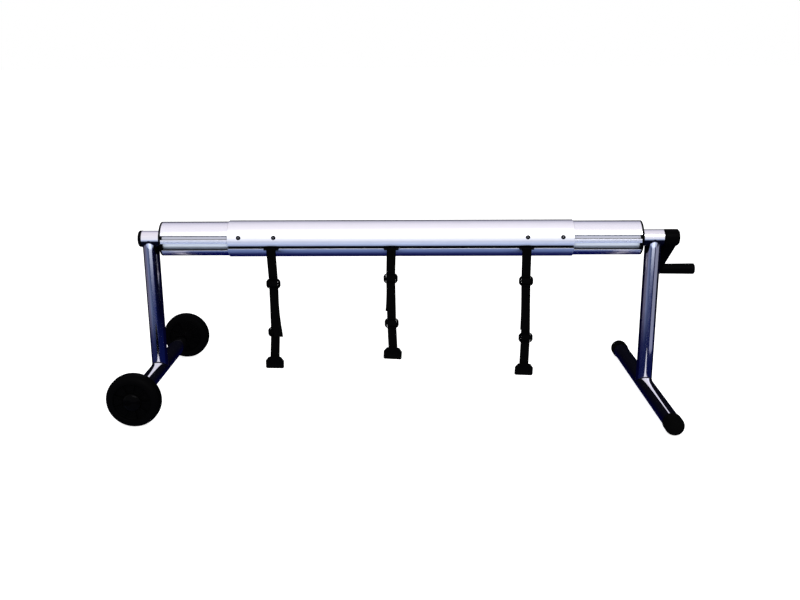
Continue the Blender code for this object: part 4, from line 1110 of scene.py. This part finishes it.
for side, end, direction in (("left", "inner", 1), ("right", "inner", -1), ("right", "outer", 1)):
    centre, halves = measure(f"{side}_sleeve")
    seat = halves[0] + FIT
    depth = halves[0] - BUSH_DEPTH
    corners = flanged(SHAFT_BORE, seat + BUSH_FLANGE, seat, depth, 0.0004, 0.0008, 0.0003)
    node = f"{side}_{end}_bush"
    bush_place = (corners, centre, (direction, 0, 0))
    turned_part(f"{node}_moulding", *bush_place, BLACK_NYLON, f"{side}_stand", "nylon", node)

centre, halves = measure("left_sleeve")
half = halves[0]
top = centre.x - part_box("left_sleeve_cap")[0].x
corners = [
    (0, top, 0),
    (STAND_RADIUS - 0.0085, top, 0.0008),
    (STAND_RADIUS - 0.0078, top - 0.0004, 0.0008),
    (SLEEVE_SKIRT, top - 0.0003, SLEEVE_CAP_ROUNDING),
    (SLEEVE_SKIRT, half - SKIRT_REACH, 0.0004),
    (STAND_RADIUS + 0.0001, half - SKIRT_REACH, 0),
    (STAND_RADIUS + 0.0001, half + FIT, 0),
    (STAND_BORE - FIT, half + FIT, 0),
    (STAND_BORE - FIT, half - SLEEVE_CAP_DEPTH, 0.0005),
    (0, half - SLEEVE_CAP_DEPTH, 0),
]
cap_place = (corners, centre, (-1, 0, 0))
turned_part("sleeve_end_cap", *cap_place, SLEEVE_CAP_PLASTIC, "left_stand", "nylon", "left_sleeve_cap")

centre, halves = measure("left_foot_bar")
seat = halves[1] + FIT
for end, outward in ENDS:
    plug_low, plug_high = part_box(f"{end}_bar_plug")
    face = abs((plug_low.y if outward < 0 else plug_high.y) - centre.y)
    corners = flanged(BAR_PLUG_BORE, face, seat, seat - BAR_PLUG_DEPTH, 0.0003, 0.001, 0.0005)
    plug_place = (corners, centre, (0, outward, 0))
    turned_part(f"{end}_bar_end", *plug_place, BLACK_NYLON, "left_stand", "nylon", f"{end}_bar_plug")

for side, outward in (("left", -1), ("right", 1)):
    low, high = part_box(f"{side}_end_plug")
    boss = abs((low.x if outward < 0 else high.x) - AXIS.x)
    face = boss - PLUG_BOSS_HEIGHT
    flange = face - PLUG_FLANGE
    corners = [
        (SHAFT_BORE, flange - PLUG_DEPTH, 0),
        (SHAFT_BORE, boss, 0.0003),
        (PLUG_BOSS_RADIUS, boss, 0.0008),
        (PLUG_BOSS_RADIUS, face - PLUG_DISH, 0.0012),
        (PLUG_DISH_RADIUS, face - PLUG_DISH, 0.0010),
        (PLUG_RIM_RADIUS, face, 0.0010),
        (INNER_RADIUS, face, 0.0012),
        (INNER_RADIUS, flange, 0.0003),
        (PLUG_SPIGOT, flange, 0),
        (PLUG_SPIGOT, flange - PLUG_DEPTH, 0.001),
        (SHAFT_BORE, flange - PLUG_DEPTH, 0),
    ]
    lugs = []
    groove = (GROOVE_ANGLE, GROOVE_HALF, GROOVE_FLOOR)
    for angle, half, floor in (groove, (RECESS_ANGLE, RECESS_HALF, RECESS_FLOOR)):
        inside = floor + FIT
        outside = INNER_RADIUS * math.cos(half / INNER_RADIUS) - FIT
        length = PLUG_LUG + LUG_OVERLAP
        size = (length, outside - inside, 2 * (half - FIT))
        lug = block(size, (0, -(inside + outside) / 2, 0), Matrix.Rotation(-angle, 3, "X"))
        along = AXIS.x + outward * (flange + LUG_OVERLAP - length / 2)
        lug.transform(Matrix.Translation((along, AXIS.y, AXIS.z)))
        lugs.append((lug, "UNION"))
    plug = carve(revolve(rounded(corners), AXIS, (outward, 0, 0)), lugs)
    finished(f"{side}_tube_end", plug, BLACK_NYLON, f"{side}_reel", "nylon", f"{side}_end_plug")

centre, halves = measure("right_foot_bar")
bar_half = halves[1]
mouth = bar_half - FOOT_SLEEVE
foot_profile = arc((0, bar_half), FOOT_RADIUS, 0, 90, 20)
foot_profile[0] = (0, foot_profile[0][1])
foot_profile += rounded([
    (FOOT_RADIUS, bar_half, 0),
    (FOOT_RADIUS, mouth + 0.0042, 0.0008),
    (FOOT_RADIUS - FOOT_LIP, mouth + 0.0036, 0.0004),
    (FOOT_RADIUS - FOOT_LIP, mouth + 0.0030, 0.0004),
    (FOOT_RADIUS, mouth + 0.0026, 0.0004),
    (FOOT_RADIUS, mouth, 0.0008),
    (STAND_RADIUS + FIT, mouth, 0),
])[1:]
foot_profile += [(STAND_RADIUS + FIT, bar_half + FIT), (0, bar_half + FIT)]
for end, outward in ENDS:
    foot = revolve(foot_profile, centre, (0, outward, 0))
    for corner in foot.vertices:
        corner.co.z = max(corner.co.z, 0)
    finished(f"{end}_rubber_foot", foot, RUBBER, "right_stand", "foot_cap", f"{end}_foot_cap")

# What stays of the CAD inside the mouldings
# Plain bolts, shafts and the left shaft's collar, of stainless steel, and the one bush that nobody sees.
STEEL_NODES = ("front_axle_bolt", "rear_axle_bolt", "left_shaft", "right_shaft", "left_shaft_collar")


def hardware_steel():
    """Plain stainless hardware, with faint tool marks and a cloudy surface."""
    made, tree, shader = new_material("hardware_steel")
    lines = rubbed(tree, (1, 1, 1), 2500)
    fill(tree, shader, {
        "Base Color": (0.60, 0.60, 0.62, 1),
        "Metallic": 1.0,
        "Roughness": remap(tree, lines["Clouds"], 0.18, 0.34),
        "Normal": bump(tree, lines["Lines"], 0.00002, 0.6),
    })
    return made


HARDWARE_STEEL = hardware_steel()

for node in (*STEEL_NODES, "left_outer_bush"):
    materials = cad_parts[node].data.materials
    materials.clear()
    materials.append(HARDWARE_STEEL if node in STEEL_NODES else BLACK_NYLON)

# Crank
# A black nylon lever moulded in one piece: a deep hub that takes the square end of the shaft, a tapering arm
# with a sunk panel on its outer face, and a boss for the shoulder bolt on which the grip turns.
CRANK_ANGLE = math.radians(45)
CRANK_REACH = 0.162
HUB_RADIUS = 0.023
HUB_CHAMFER = 0.004
ARM_ROOT_WIDTH = 0.036
ARM_TIP_WIDTH = 0.026
ARM_ROOT_DEPTH = 0.0335
ARM_TIP_DEPTH = 0.018
ARM_EDGE = 0.004
ARM_OVERLAP = 0.009
ARM_LEAN = 0.0125
ARM_STEPS = 12
TIP_BOSS_RADIUS = 0.015
SCREW_POCKET_RADIUS = 0.0078
SCREW_POCKET_DEPTH = 0.0046
BOSS_RISE = 0.002
BOSS_FOOT = 0.0007
PANEL_DEPTH = 0.0015
PANEL_WIDTH = 0.56
CRANK_NYLON = moulded_black("crank_nylon", 1100, 0.00005, 0.36, 0.52)

arm_low, arm_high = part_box("crank_arm")
hub_end = arm_high.x
arm_turn = Matrix.Rotation(CRANK_ANGLE, 3, "X")
grip_centre = AXIS + arm_turn @ Vector((0, 0, -CRANK_REACH))
grip_centre.x = 0
axis_line = Vector((0, AXIS.y, AXIS.z))
arm_face = hub_end - BOSS_RISE
tip_face = arm_face - ARM_LEAN


def rounded_slab(stations):
    """A tapering arm of rounded oblong sections, each with its drop, two faces along X, width and edge."""
    shape = bmesh.new()
    rings = []
    for drop, inner, outer, width, edge in stations:
        ring = []
        for corner_x, corner_y, start in (
            (outer - edge, width / 2 - edge, 0),
            (inner + edge, width / 2 - edge, 90),
            (inner + edge, edge - width / 2, 180),
            (outer - edge, edge - width / 2, 270),
        ):
            for step in range(7):
                angle = math.radians(start + 15 * step)
                local = Vector((corner_x + edge * math.cos(angle), corner_y + edge * math.sin(angle), -drop))
                ring.append(shape.verts.new(axis_line + arm_turn @ local))
        rings.append(ring)
    for first, second in zip(rings, rings[1:]):
        skin(shape, first, second)
    shape.faces.new(rings[0][::-1])
    shape.faces.new(rings[-1])
    return mesh_from(shape)


def along_arm(share):
    """The arm's outer face, width and depth at a share of the way from the shaft to the grip."""
    width = ARM_ROOT_WIDTH + (ARM_TIP_WIDTH - ARM_ROOT_WIDTH) * share
    depth = ARM_ROOT_DEPTH + (ARM_TIP_DEPTH - ARM_ROOT_DEPTH) * share
    return arm_face - ARM_LEAN * share, width, depth


stations = []
for step in range(ARM_STEPS + 1):
    share = step / ARM_STEPS
    face, width, depth = along_arm(share)
    stations.append((CRANK_REACH * share + ARM_OVERLAP * (share - 0.5), face - depth, face, width, ARM_EDGE))
arm = rounded_slab(stations)
hub = revolve(rounded([
    (0, hub_end, 0),
    (HUB_RADIUS - HUB_CHAMFER, hub_end, 0.002),
    (HUB_RADIUS, hub_end - HUB_CHAMFER, 0.002),
    (HUB_RADIUS, arm_low.x, 0.0008),
    (0, arm_low.x, 0),
]), axis_line, (1, 0, 0))
tip = revolve(rounded([
    (0, tip_face + BOSS_RISE, 0),
    (TIP_BOSS_RADIUS, tip_face + BOSS_RISE, 0.0012),
    (TIP_BOSS_RADIUS, tip_face - ARM_TIP_DEPTH - BOSS_FOOT, 0.0015),
    (0, tip_face - ARM_TIP_DEPTH - BOSS_FOOT, 0),
]), grip_centre, (1, 0, 0), sides=64)
pocket = revolve([
    (0, hub_end + 0.002),
    (SCREW_POCKET_RADIUS, hub_end + 0.002),
    (SCREW_POCKET_RADIUS, hub_end - SCREW_POCKET_DEPTH),
    (0, hub_end - SCREW_POCKET_DEPTH),
], axis_line, (1, 0, 0), sides=48)
stations = []
for share in (0.22, 0.5, 0.80):
    face, width, depth = along_arm(share)
    stations.append((CRANK_REACH * share, face - PANEL_DEPTH, face + 0.004, width * PANEL_WIDTH, 0.0019))
panel = rounded_slab(stations)
lever = carve(hub, [(arm, "UNION"), (tip, "UNION"), (pocket, "DIFFERENCE"), (panel, "DIFFERENCE")])
finished("crank_lever", lever, CRANK_NYLON, "right_reel", "crank", "crank_arm")


def socket_screw(name, head_radius, head_height, shank, end, centre, node):
    """A socket head screw along X whose head lies in a pocket. Its end is where its shank's point is."""
    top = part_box(node)[1].x
    foot = top - head_height
    profile = rounded([
        (0, top, 0),
        (head_radius, top, 0.0006),
        (head_radius, foot, 0.0002),
        (shank, foot, 0),
        (shank, end, 0.0005),
        (0, end, 0),
    ])
    key = head_radius * 0.5
    floor = top - head_height * 0.6
    sunk = [(0, top + 0.001), (key, top + 0.001), (key, floor), (0, floor)]
    hexagon = revolve(sunk, centre, (1, 0, 0), sides=6)
    screw = carve(revolve(profile, centre, (1, 0, 0), sides=48), [(hexagon, "DIFFERENCE")])
    finished(name, screw, HARDWARE_STEEL, "right_reel", "hardware", node)


# Each screw's head radius, head height and shank radius
HUB_SCREW = (0.0075, 0.004, 0.004)
SHOULDER_BOLT = (0.0085, 0.005, 0.005)
socket_screw("hub_screw", *HUB_SCREW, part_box("crank_screw")[0].x, axis_line, "crank_screw")
bolt_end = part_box("grip_bolt")[0].x - ARM_LEAN
socket_screw("shoulder_bolt", *SHOULDER_BOLT, bolt_end, grip_centre, "grip_bolt")

# Grip
# A hollow black nylon handle, a little thicker at its free end, that turns on the shoulder bolt.
GRIP_ROOT = 0.01475
GRIP_TIP = 0.01575
GRIP_BORE = 0.0054
GRIP_POCKET = 0.0089
GRIP_POCKET_DEPTH = 0.006
GRIP_ROUNDING = 0.003
GRIP_GAP = 0.0025
GRIP_SWELL = 0.012
GRIP_COLLAR = 0.003
grip_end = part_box("crank_grip")[1].x
grip_root = tip_face + GRIP_GAP
corners = [
    (GRIP_BORE, grip_end - GRIP_POCKET_DEPTH, 0),
    (GRIP_POCKET, grip_end - GRIP_POCKET_DEPTH, 0.0003),
    (GRIP_POCKET, grip_end, 0.0006),
    (GRIP_TIP, grip_end, GRIP_ROUNDING),
    (GRIP_TIP - 0.0001, grip_end - GRIP_SWELL, 0.001),
    (GRIP_ROOT, grip_root + GRIP_COLLAR, 0.001),
    (GRIP_ROOT - 0.0008, grip_root, 0.0008),
    (GRIP_BORE, grip_root, 0),
    (GRIP_BORE, grip_end - GRIP_POCKET_DEPTH, 0),
]
turned_part("hand_grip", corners, grip_centre, (1, 0, 0), CRANK_NYLON, "grip", "crank", "crank_grip")

# Straps
# Three straps of black polypropylene webbing hang from nylon anchors that slide in the T-slot. On each, two
# buckles set the length, the loose tail hangs in front and a clip in two parts grips the cover's edge.
WEBBING_WIDTH = 0.025
WEBBING_THICKNESS = 0.0016
LAYER_GAP = 0.0004
LAYER_STEP = WEBBING_THICKNESS + LAYER_GAP
STEP_LENGTH = 0.0016
TAIL_POINTS = 12
CHANNEL_ANGLE = math.radians(-21)
ANCHOR_BAR = 0.003
ANCHOR_RADIUS = 0.05852
BAR_TURN = ANCHOR_BAR / math.sqrt(2) + LAYER_GAP + WEBBING_THICKNESS / 2
GLIDE_THICKNESS = 0.0045
GLIDE_BAR = 0.005
GLIDE_SLOT = 0.009
GLIDE_HALF = 0.014
GLIDE_HALF_WIDTH = 0.0195
GLIDE_CHAMFER = 0.008
RAIL_CENTRE = GLIDE_THICKNESS / 2 + LAYER_GAP + WEBBING_THICKNESS / 2 + LAYER_STEP / 2
SIDE_GAP = 0.001
LOOP_HALF = WEBBING_WIDTH / 2 + 2 * SIDE_GAP
SNUG_HALF = WEBBING_WIDTH / 2 + 0.0002
CLIP_BAR_DROP = 0.008
CLIP_PLATE = 0.0025
CLIP_MOUTH = 0.002
CLIP_CHEEK = 0.0025
ANCHOR_FOOT_HALF = 0.0064
PANEL_SINK = 0.0006
RIDGE_COUNT = 5
RIDGE_START = -0.0320
RIDGE_STEP = 0.0033
RIDGE_WIDTH = 0.0012
RIDGE_HALF = 0.0205

# The right half of each outline, as how far across and up or out each corner is and its rounding
ANCHOR_FRAME = ((0.02075, 0.0506, 0.0010), (0.02075, 0.0538, 0.0012), (0.0195, 0.06002, 0.0012))
ANCHOR_FOOT = ((0.0175, 0.0411, 0.0015), (0.019, 0.0472, 0.0008))
ANCHOR_NECK = ((0.018, 0.0462, 0.0004), (0.018, 0.0516, 0.0004))
CLIP_OUTLINE = (
    (0.0225, -0.034, 0.0015), (0.0255, -0.031, 0.0015), (0.0255, -0.011, 0.003), (0.017, 0, 0.003),
)
CLIP_PANEL = ((0.0231, -0.0286, 0.001), (0.0231, -0.0119, 0.0015), (0.0158, -0.0024, 0.0015))

# Each oblong: half of its width, its low and its high edge, and its rounding
ANCHOR_WINDOW = (SNUG_HALF, 0.0538, 0.05702, 0.0008)
CLIP_LIP = (0.0215, -0.0338, -0.0302, 0.0012)
CLIP_STUD = (0.0045, -0.0295, -0.0205, 0.0040)
CLIP_JAW = (0.0225, -0.033, -0.017, 0.002)

# Each strap: how far below its anchor's bar its two buckles and its clip are, and how far to the right. Then
# the drop of its tail's cut end, how far that stands forward and aside, and the clip's tilt.
STRAPS = {
    "left": {
        "drops": (0.0932, 0.2306, 0.3022), "drifts": (0.0040, 0.0037, -0.0006),
        "tail": 0.2415, "forward": 0.0076, "aside": 0.0112, "tilt": math.radians(1.0),
    },
    "middle": {
        "drops": (0.0792, 0.2057, 0.2757), "drifts": (-0.0021, -0.0003, 0.0026),
        "tail": 0.1710, "forward": 0.0060, "aside": -0.0040, "tilt": math.radians(3.2),
    },
    "right": {
        "drops": (0.0870, 0.2479, 0.3230), "drifts": (-0.0001, 0.0033, 0.0014),
        "tail": 0.2250, "forward": 0.0050, "aside": -0.0028, "tilt": math.radians(2.5),
    },
}


def woven_webbing():
    """Ribbed polypropylene webbing, its weave laid out by the strap's own UV map in metres."""
    made, tree, shader = new_material("black_webbing")
    place = {"Vector": add(tree, "ShaderNodeUVMap", uv_map="along_strap").outputs[0]}
    ribs = {**place, "Scale": 520, "Distortion": 0.6, "Detail": 1}
    ribs = add(tree, "ShaderNodeTexWave", ribs, wave_type="BANDS", bands_direction="Y")
    warp = {**place, "Scale": 260, "Distortion": 0.4}
    warp = add(tree, "ShaderNodeTexWave", warp, wave_type="BANDS", bands_direction="X")
    weave = calculate(tree, "MULTIPLY", ribs.outputs["Fac"], warp.outputs["Fac"])
    fuzz = add(tree, "ShaderNodeTexNoise", {**place, "Scale": 700, "Detail": 3})
    height = calculate(tree, "MULTIPLY_ADD", fuzz, 0.25, weave)
    fill(tree, shader, {
        "Base Color": blend(tree, height, (0.0004, 0.0004, 0.0005, 1), (0.0020, 0.0020, 0.0022, 1)),
        "Normal": bump(tree, height, 0.00015, 0.8),
        "Roughness": remap(tree, fuzz, 0.62, 0.90),
        "Specular IOR Level": 0.015,
    })
    return made


BLACK_WEBBING = woven_webbing()
BUCKLE_NYLON = moulded_black("buckle_nylon", 1600, 0.00003, 0.34, 0.48, 0.02)


def sideways(points, distance):
    """The path moved sideways by the distance, forward where it runs down."""
    moved = []
    for index, point in enumerate(points):
        before = (point - points[index - 1]).normalized() if index else None
        after = (points[index + 1] - point).normalized() if index + 1 < len(points) else None
        along = ((before or after) + (after or before)).normalized()
        normal = Vector((along.y, -along.x))
        bend = normal.dot(Vector(((before or after).y, -(before or after).x)))
        moved.append(point - normal * (distance / bend))
    return moved


def through_buckle(drop):
    """The middle line of a pair of layers past a buckle: behind its rails and over its middle bar."""
    middle = GLIDE_BAR / 2 + GLIDE_SLOT / 2
    far = middle + GLIDE_SLOT * 0.3
    near = middle - GLIDE_SLOT * 0.3
    clear = GLIDE_HALF + SIDE_GAP
    front = 2 * RAIL_CENTRE
    steps = [(0, -clear), (0, -far), (front, -near), (front, near), (0, far), (0, clear)]
    return [Vector((forward, -drop - below)) for forward, below in steps]


def round_bar(drop, under):
    """The webbing's turn round a bar: over it from front to back, or under it."""
    sign = -1 if under else 1
    turns = [math.pi * step / 8 for step in range(9)]
    return [Vector((BAR_TURN * math.cos(turn), -drop + sign * BAR_TURN * math.sin(turn))) for turn in turns]


def strap_path(strap):
    """The strap's middle line as (forward, up) points, whose first are those of the loose tail."""
    half = LAYER_STEP / 2
    upper_drop, lower_drop, clip_drop = strap["drops"]
    upper = through_buckle(upper_drop)
    lower = through_buckle(lower_drop)
    start = upper[-1].y
    end = -strap["tail"]
    stand = strap["forward"] - half
    if strap["tail"] > lower_drop - GLIDE_HALF - SIDE_GAP:
        stand += 2 * RAIL_CENTRE
    path = []
    for step in range(TAIL_POINTS):
        share = 1 - step / TAIL_POINTS
        path.append(Vector((half + stand * share**1.5, start + (end - start) * share)))
    path += sideways(upper, half)[::-1] + round_bar(0, False) + sideways(upper, -half)
    path += sideways(lower, half) + round_bar(clip_drop + CLIP_BAR_DROP, True)
    return path + sideways(lower, -half)[::-1]


def softened(points, times):
    """Cuts the corners of a path, so that it bends as webbing does."""
    for _ in range(times):
        cut = [points[0]]
        for first, second in zip(points, points[1:]):
            cut += [first.lerp(second, 0.25), first.lerp(second, 0.75)]
        points = cut + [points[-1]]
    return points


def lengths_of(points):
    return [(second - first).length for first, second in zip(points, points[1:])]


def evenly(points):
    """Points a step apart along a path, each with its length so far."""
    lengths = np.concatenate([[0], np.cumsum(lengths_of(points))])
    places = np.linspace(0, lengths[-1], round(lengths[-1] / STEP_LENGTH) + 1)
    forward = np.interp(places, lengths, [point.x for point in points])
    up = np.interp(places, lengths, [point.y for point in points])
    return list(zip(forward, up, places))


def webbing_outline():
    """The webbing's section, with its edges rounded over, as (across, out) points."""
    half = WEBBING_WIDTH / 2
    thick = WEBBING_THICKNESS / 2
    edge = []
    for turn in (90, 60, 30, 0, -30, -60, -90):
        angle = math.radians(turn)
        edge.append((half - thick + thick * math.cos(angle), thick * math.sin(angle)))
    shares = (0.6, 0.3, 0, -0.3, -0.6)
    outline = edge + [(half * share, -thick) for share in shares]
    outline += [(-across, out) for across, out in reversed(edge)]
    return outline + [(half * share, thick) for share in reversed(shares)]


def strap_mesh(strap, bar_place):
    """The webbing: its path with a flat section, drifting sideways, its tail swung aside, and its length."""
    path = strap_path(strap)
    tail_length = sum(lengths_of(path[:TAIL_POINTS + 1]))
    points = evenly(softened(path, 2))
    outline = webbing_outline()
    shape = bmesh.new()
    layer = shape.loops.layers.uv.new("along_strap")
    rings = []
    tail_top = path[TAIL_POINTS - 1].y
    for index, (forward, up, length) in enumerate(points):
        before = points[max(index - 1, 0)]
        after = points[min(index + 1, len(points) - 1)]
        along = Vector((after[0] - before[0], after[1] - before[1])).normalized()
        normal = Vector((along.y, -along.x))
        aside = np.interp(-up, [0, *strap["drops"]], [0, *strap["drifts"]])
        if length < tail_length:
            share = (up - tail_top) / (path[0].y - tail_top)
            aside += strap["aside"] * max(share, 0) ** 2
        ring = []
        for across, out in outline:
            place = Vector((across + aside, -(forward + normal.x * out), up + normal.y * out))
            ring.append(shape.verts.new(bar_place + place))
        rings.append((ring, length))
    for (first, start), (second, end) in zip(rings, rings[1:]):
        for index in range(len(first)):
            after = (index + 1) % len(first)
            face = shape.faces.new((first[index], second[index], second[after], first[after]))
            marks = ((index, start), (index, end), (after, end), (after, start))
            for corner, (place, length) in zip(face.loops, marks):
                corner[layer].uv = (outline[place][0], length)
    shape.faces.new(rings[0][0])
    shape.faces.new(rings[-1][0][::-1])
    return mesh_from(shape, crease=50), float(points[-1][2])


def inset(loop, distance):
    """A closed flat loop moved inwards by the distance."""
    moved = []
    area = sum(loop[i - 1][0] * loop[i][1] - loop[i][0] * loop[i - 1][1] for i in range(len(loop)))
    side = 1 if area > 0 else -1
    for index, here in enumerate(loop):
        before = (Vector(here) - Vector(loop[index - 1])).normalized()
        after = (Vector(loop[(index + 1) % len(loop)]) - Vector(here)).normalized()
        left = Vector((-before.y, before.x))
        normal = (left + Vector((-after.y, after.x))).normalized()
        reach = distance / max(normal.dot(left), 0.3)
        moved.append(tuple(Vector(here) + normal * reach * side))
    return moved


def slab(edge_loop, back, front, edge, place, openings=()):
    """A moulded plate with soft edges. place puts a point (across, up, out) of its outline in space."""
    shape = bmesh.new()
    levels = [(back, edge), (back + edge * 0.3, edge * 0.3), (back + edge, 0)]
    levels += [(front - edge, 0), (front - edge * 0.3, edge * 0.3), (front, edge)]
    flat_edges = ([], [])
    for number, loop in enumerate([edge_loop, *openings]):
        rings = []
        for out, shrink in levels:
            moved = inset(loop, shrink if number == 0 else -shrink)
            rings.append([shape.verts.new(place(across, up, out)) for across, up in moved])
        for first, second in zip(rings, rings[1:]):
            skin(shape, first, second)
        for ring, found in zip((rings[0], rings[-1]), flat_edges):
            found += [shape.edges.get(ends) for ends in around_loop(ring)]
    facing = place(0, 0, 1) - place(0, 0, 0)
    for found in flat_edges:
        bmesh.ops.triangle_fill(shape, edges=found, use_beauty=True, normal=facing)
    return mesh_from(shape)


def soft_loop(corners, steps=4):
    """A closed flat loop with an arc at each corner (across, up, rounding)."""
    loop = []
    for index, corner in enumerate(corners):
        window = [corners[index - 1], corner, corners[(index + 1) % len(corners)]]
        loop += rounded(window, steps)[1:-1]
    return loop


def both_sides(corners):
    """A closed loop from the corners of its right half, listed upwards."""
    return soft_loop([*corners, *[(-across, up, rounding) for across, up, rounding in reversed(corners)]])


def oblong(half, low, high, rounding):
    return both_sides([(half, low, rounding), (half, high, rounding)])


cut = GLIDE_CHAMFER * 0.35
glide_corners = [
    (GLIDE_HALF_WIDTH, GLIDE_HALF - GLIDE_CHAMFER, 0.003),
    (GLIDE_HALF_WIDTH - cut, GLIDE_HALF - cut, 0.003),
    (GLIDE_HALF_WIDTH - GLIDE_CHAMFER, GLIDE_HALF, 0.003),
]
lower_corners = [(across, -up, rounding) for across, up, rounding in reversed(glide_corners)]
GLIDE_LOOP = both_sides(lower_corners + glide_corners)
near = GLIDE_BAR / 2
far = near + GLIDE_SLOT
GLIDE_SLOTS = [oblong(SNUG_HALF, near, far, 0.001), oblong(SNUG_HALF, -far, -near, 0.001)]

for side, strap in STRAPS.items():
    low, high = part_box(f"{side}_anchor")
    bar_x = (low.x + high.x) / 2
    bar_y = AXIS.y - ANCHOR_RADIUS * math.cos(CHANNEL_ANGLE)
    bar_z = AXIS.z + ANCHOR_RADIUS * math.sin(CHANNEL_ANGLE)
    body = f"{side}_strap"
    outward = Vector((0, -math.cos(CHANNEL_ANGLE), math.sin(CHANNEL_ANGLE)))
    upright = Vector((0, math.sin(CHANNEL_ANGLE), math.cos(CHANNEL_ANGLE)))

    def on_anchor(across, out, thick):
        return Vector((bar_x + across, AXIS.y, AXIS.z)) + outward * out + upright * thick

    bar_half = ANCHOR_BAR / 2
    window = oblong(*ANCHOR_WINDOW)
    holder = slab(both_sides(ANCHOR_FRAME), -bar_half, bar_half, 0.0007, on_anchor, [window])
    foot = slab(both_sides(ANCHOR_FOOT), -ANCHOR_FOOT_HALF, ANCHOR_FOOT_HALF, 0.0006, on_anchor)
    neck = slab(both_sides(ANCHOR_NECK), -bar_half, bar_half, 0.0003, on_anchor)
    slider = carve(holder, [(neck, "UNION"), (foot, "UNION")])
    node = f"{side}_anchor"
    slider = finished(f"{side}_slider", slider, BUCKLE_NYLON, node, "buckle", node)

    webbing, strap_length = strap_mesh(strap, Vector((bar_x, bar_y, bar_z)))
    band = finished(f"{side}_strap_webbing", webbing, BLACK_WEBBING, body, "webbing", f"{side}_webbing")

    for which, drop, aside in zip(("upper", "lower"), strap["drops"], strap["drifts"]):
        centre = Vector((bar_x + aside, bar_y - RAIL_CENTRE, bar_z - drop))

        def on_buckle(across, up, out):
            return centre + Vector((across, -out, up))

        half = GLIDE_THICKNESS / 2
        glide = slab(GLIDE_LOOP, -half, half, 0.0009, on_buckle, GLIDE_SLOTS)
        finished(f"{side}_{which}_glide", glide, BUCKLE_NYLON, body, "buckle", f"{side}_{which}_buckle")

    hinge = Vector((bar_x + strap["drifts"][2], bar_y, bar_z - strap["drops"][2] - CLIP_BAR_DROP))
    tilt = Matrix.Rotation(strap["tilt"], 3, "Y")

    def on_clip(across, up, out):
        return hinge + tilt @ Vector((across, 0, up + CLIP_BAR_DROP)) + Vector((0, -out, 0))

    def on_bar(across, up, out):
        return hinge + Vector((across, -out, up))

    face = bar_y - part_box(f"{side}_clip_front")[0].y
    inner = face - CLIP_PLATE
    panel = slab(both_sides(CLIP_PANEL), face - PANEL_SINK, face + 0.002, 0.0002, on_clip)
    lip = slab(oblong(*CLIP_LIP), inner + 0.0004, face + 0.0008, 0.0006, on_clip)
    parts = [(panel, "DIFFERENCE"), (lip, "UNION")]
    for sign in (-1, 1):
        cheek = oblong(CLIP_CHEEK / 2, -ANCHOR_BAR, ANCHOR_BAR, 0.0006)
        cheek = [(across + sign * (LOOP_HALF + CLIP_CHEEK / 2), up) for across, up in cheek]
        parts.append((slab(cheek, -bar_half, inner + 0.001, 0.0004, on_bar), "UNION"))
    crossbar = oblong(LOOP_HALF + CLIP_CHEEK / 2, -bar_half, bar_half, 0.0006)
    parts.append((slab(crossbar, 0.0002 - bar_half, bar_half, 0.0004, on_bar), "UNION"))
    plate = carve(slab(both_sides(CLIP_OUTLINE), inner, face, 0.0009, on_clip), parts)
    finished(f"{side}_clip_face", plate, BUCKLE_NYLON, body, "buckle", f"{side}_clip_front")

    near = inner - CLIP_MOUTH
    parts = [(slab(oblong(*CLIP_STUD), near - 0.001, inner - FIT, 0.0003, on_clip), "UNION")]
    for row in range(RIDGE_COUNT):
        height = RIDGE_START + RIDGE_STEP * row
        ridge = oblong(RIDGE_HALF, height, height + RIDGE_WIDTH, 0.0003)
        parts.append((slab(ridge, near - 0.0005, near + 0.0007, 0.0002, on_clip), "UNION"))
    jaw = slab(oblong(*CLIP_JAW), near - CLIP_PLATE, near, 0.0007, on_clip)
    finished(f"{side}_clip_jaw", carve(jaw, parts), BUCKLE_NYLON, body, "buckle", f"{side}_clip_back")
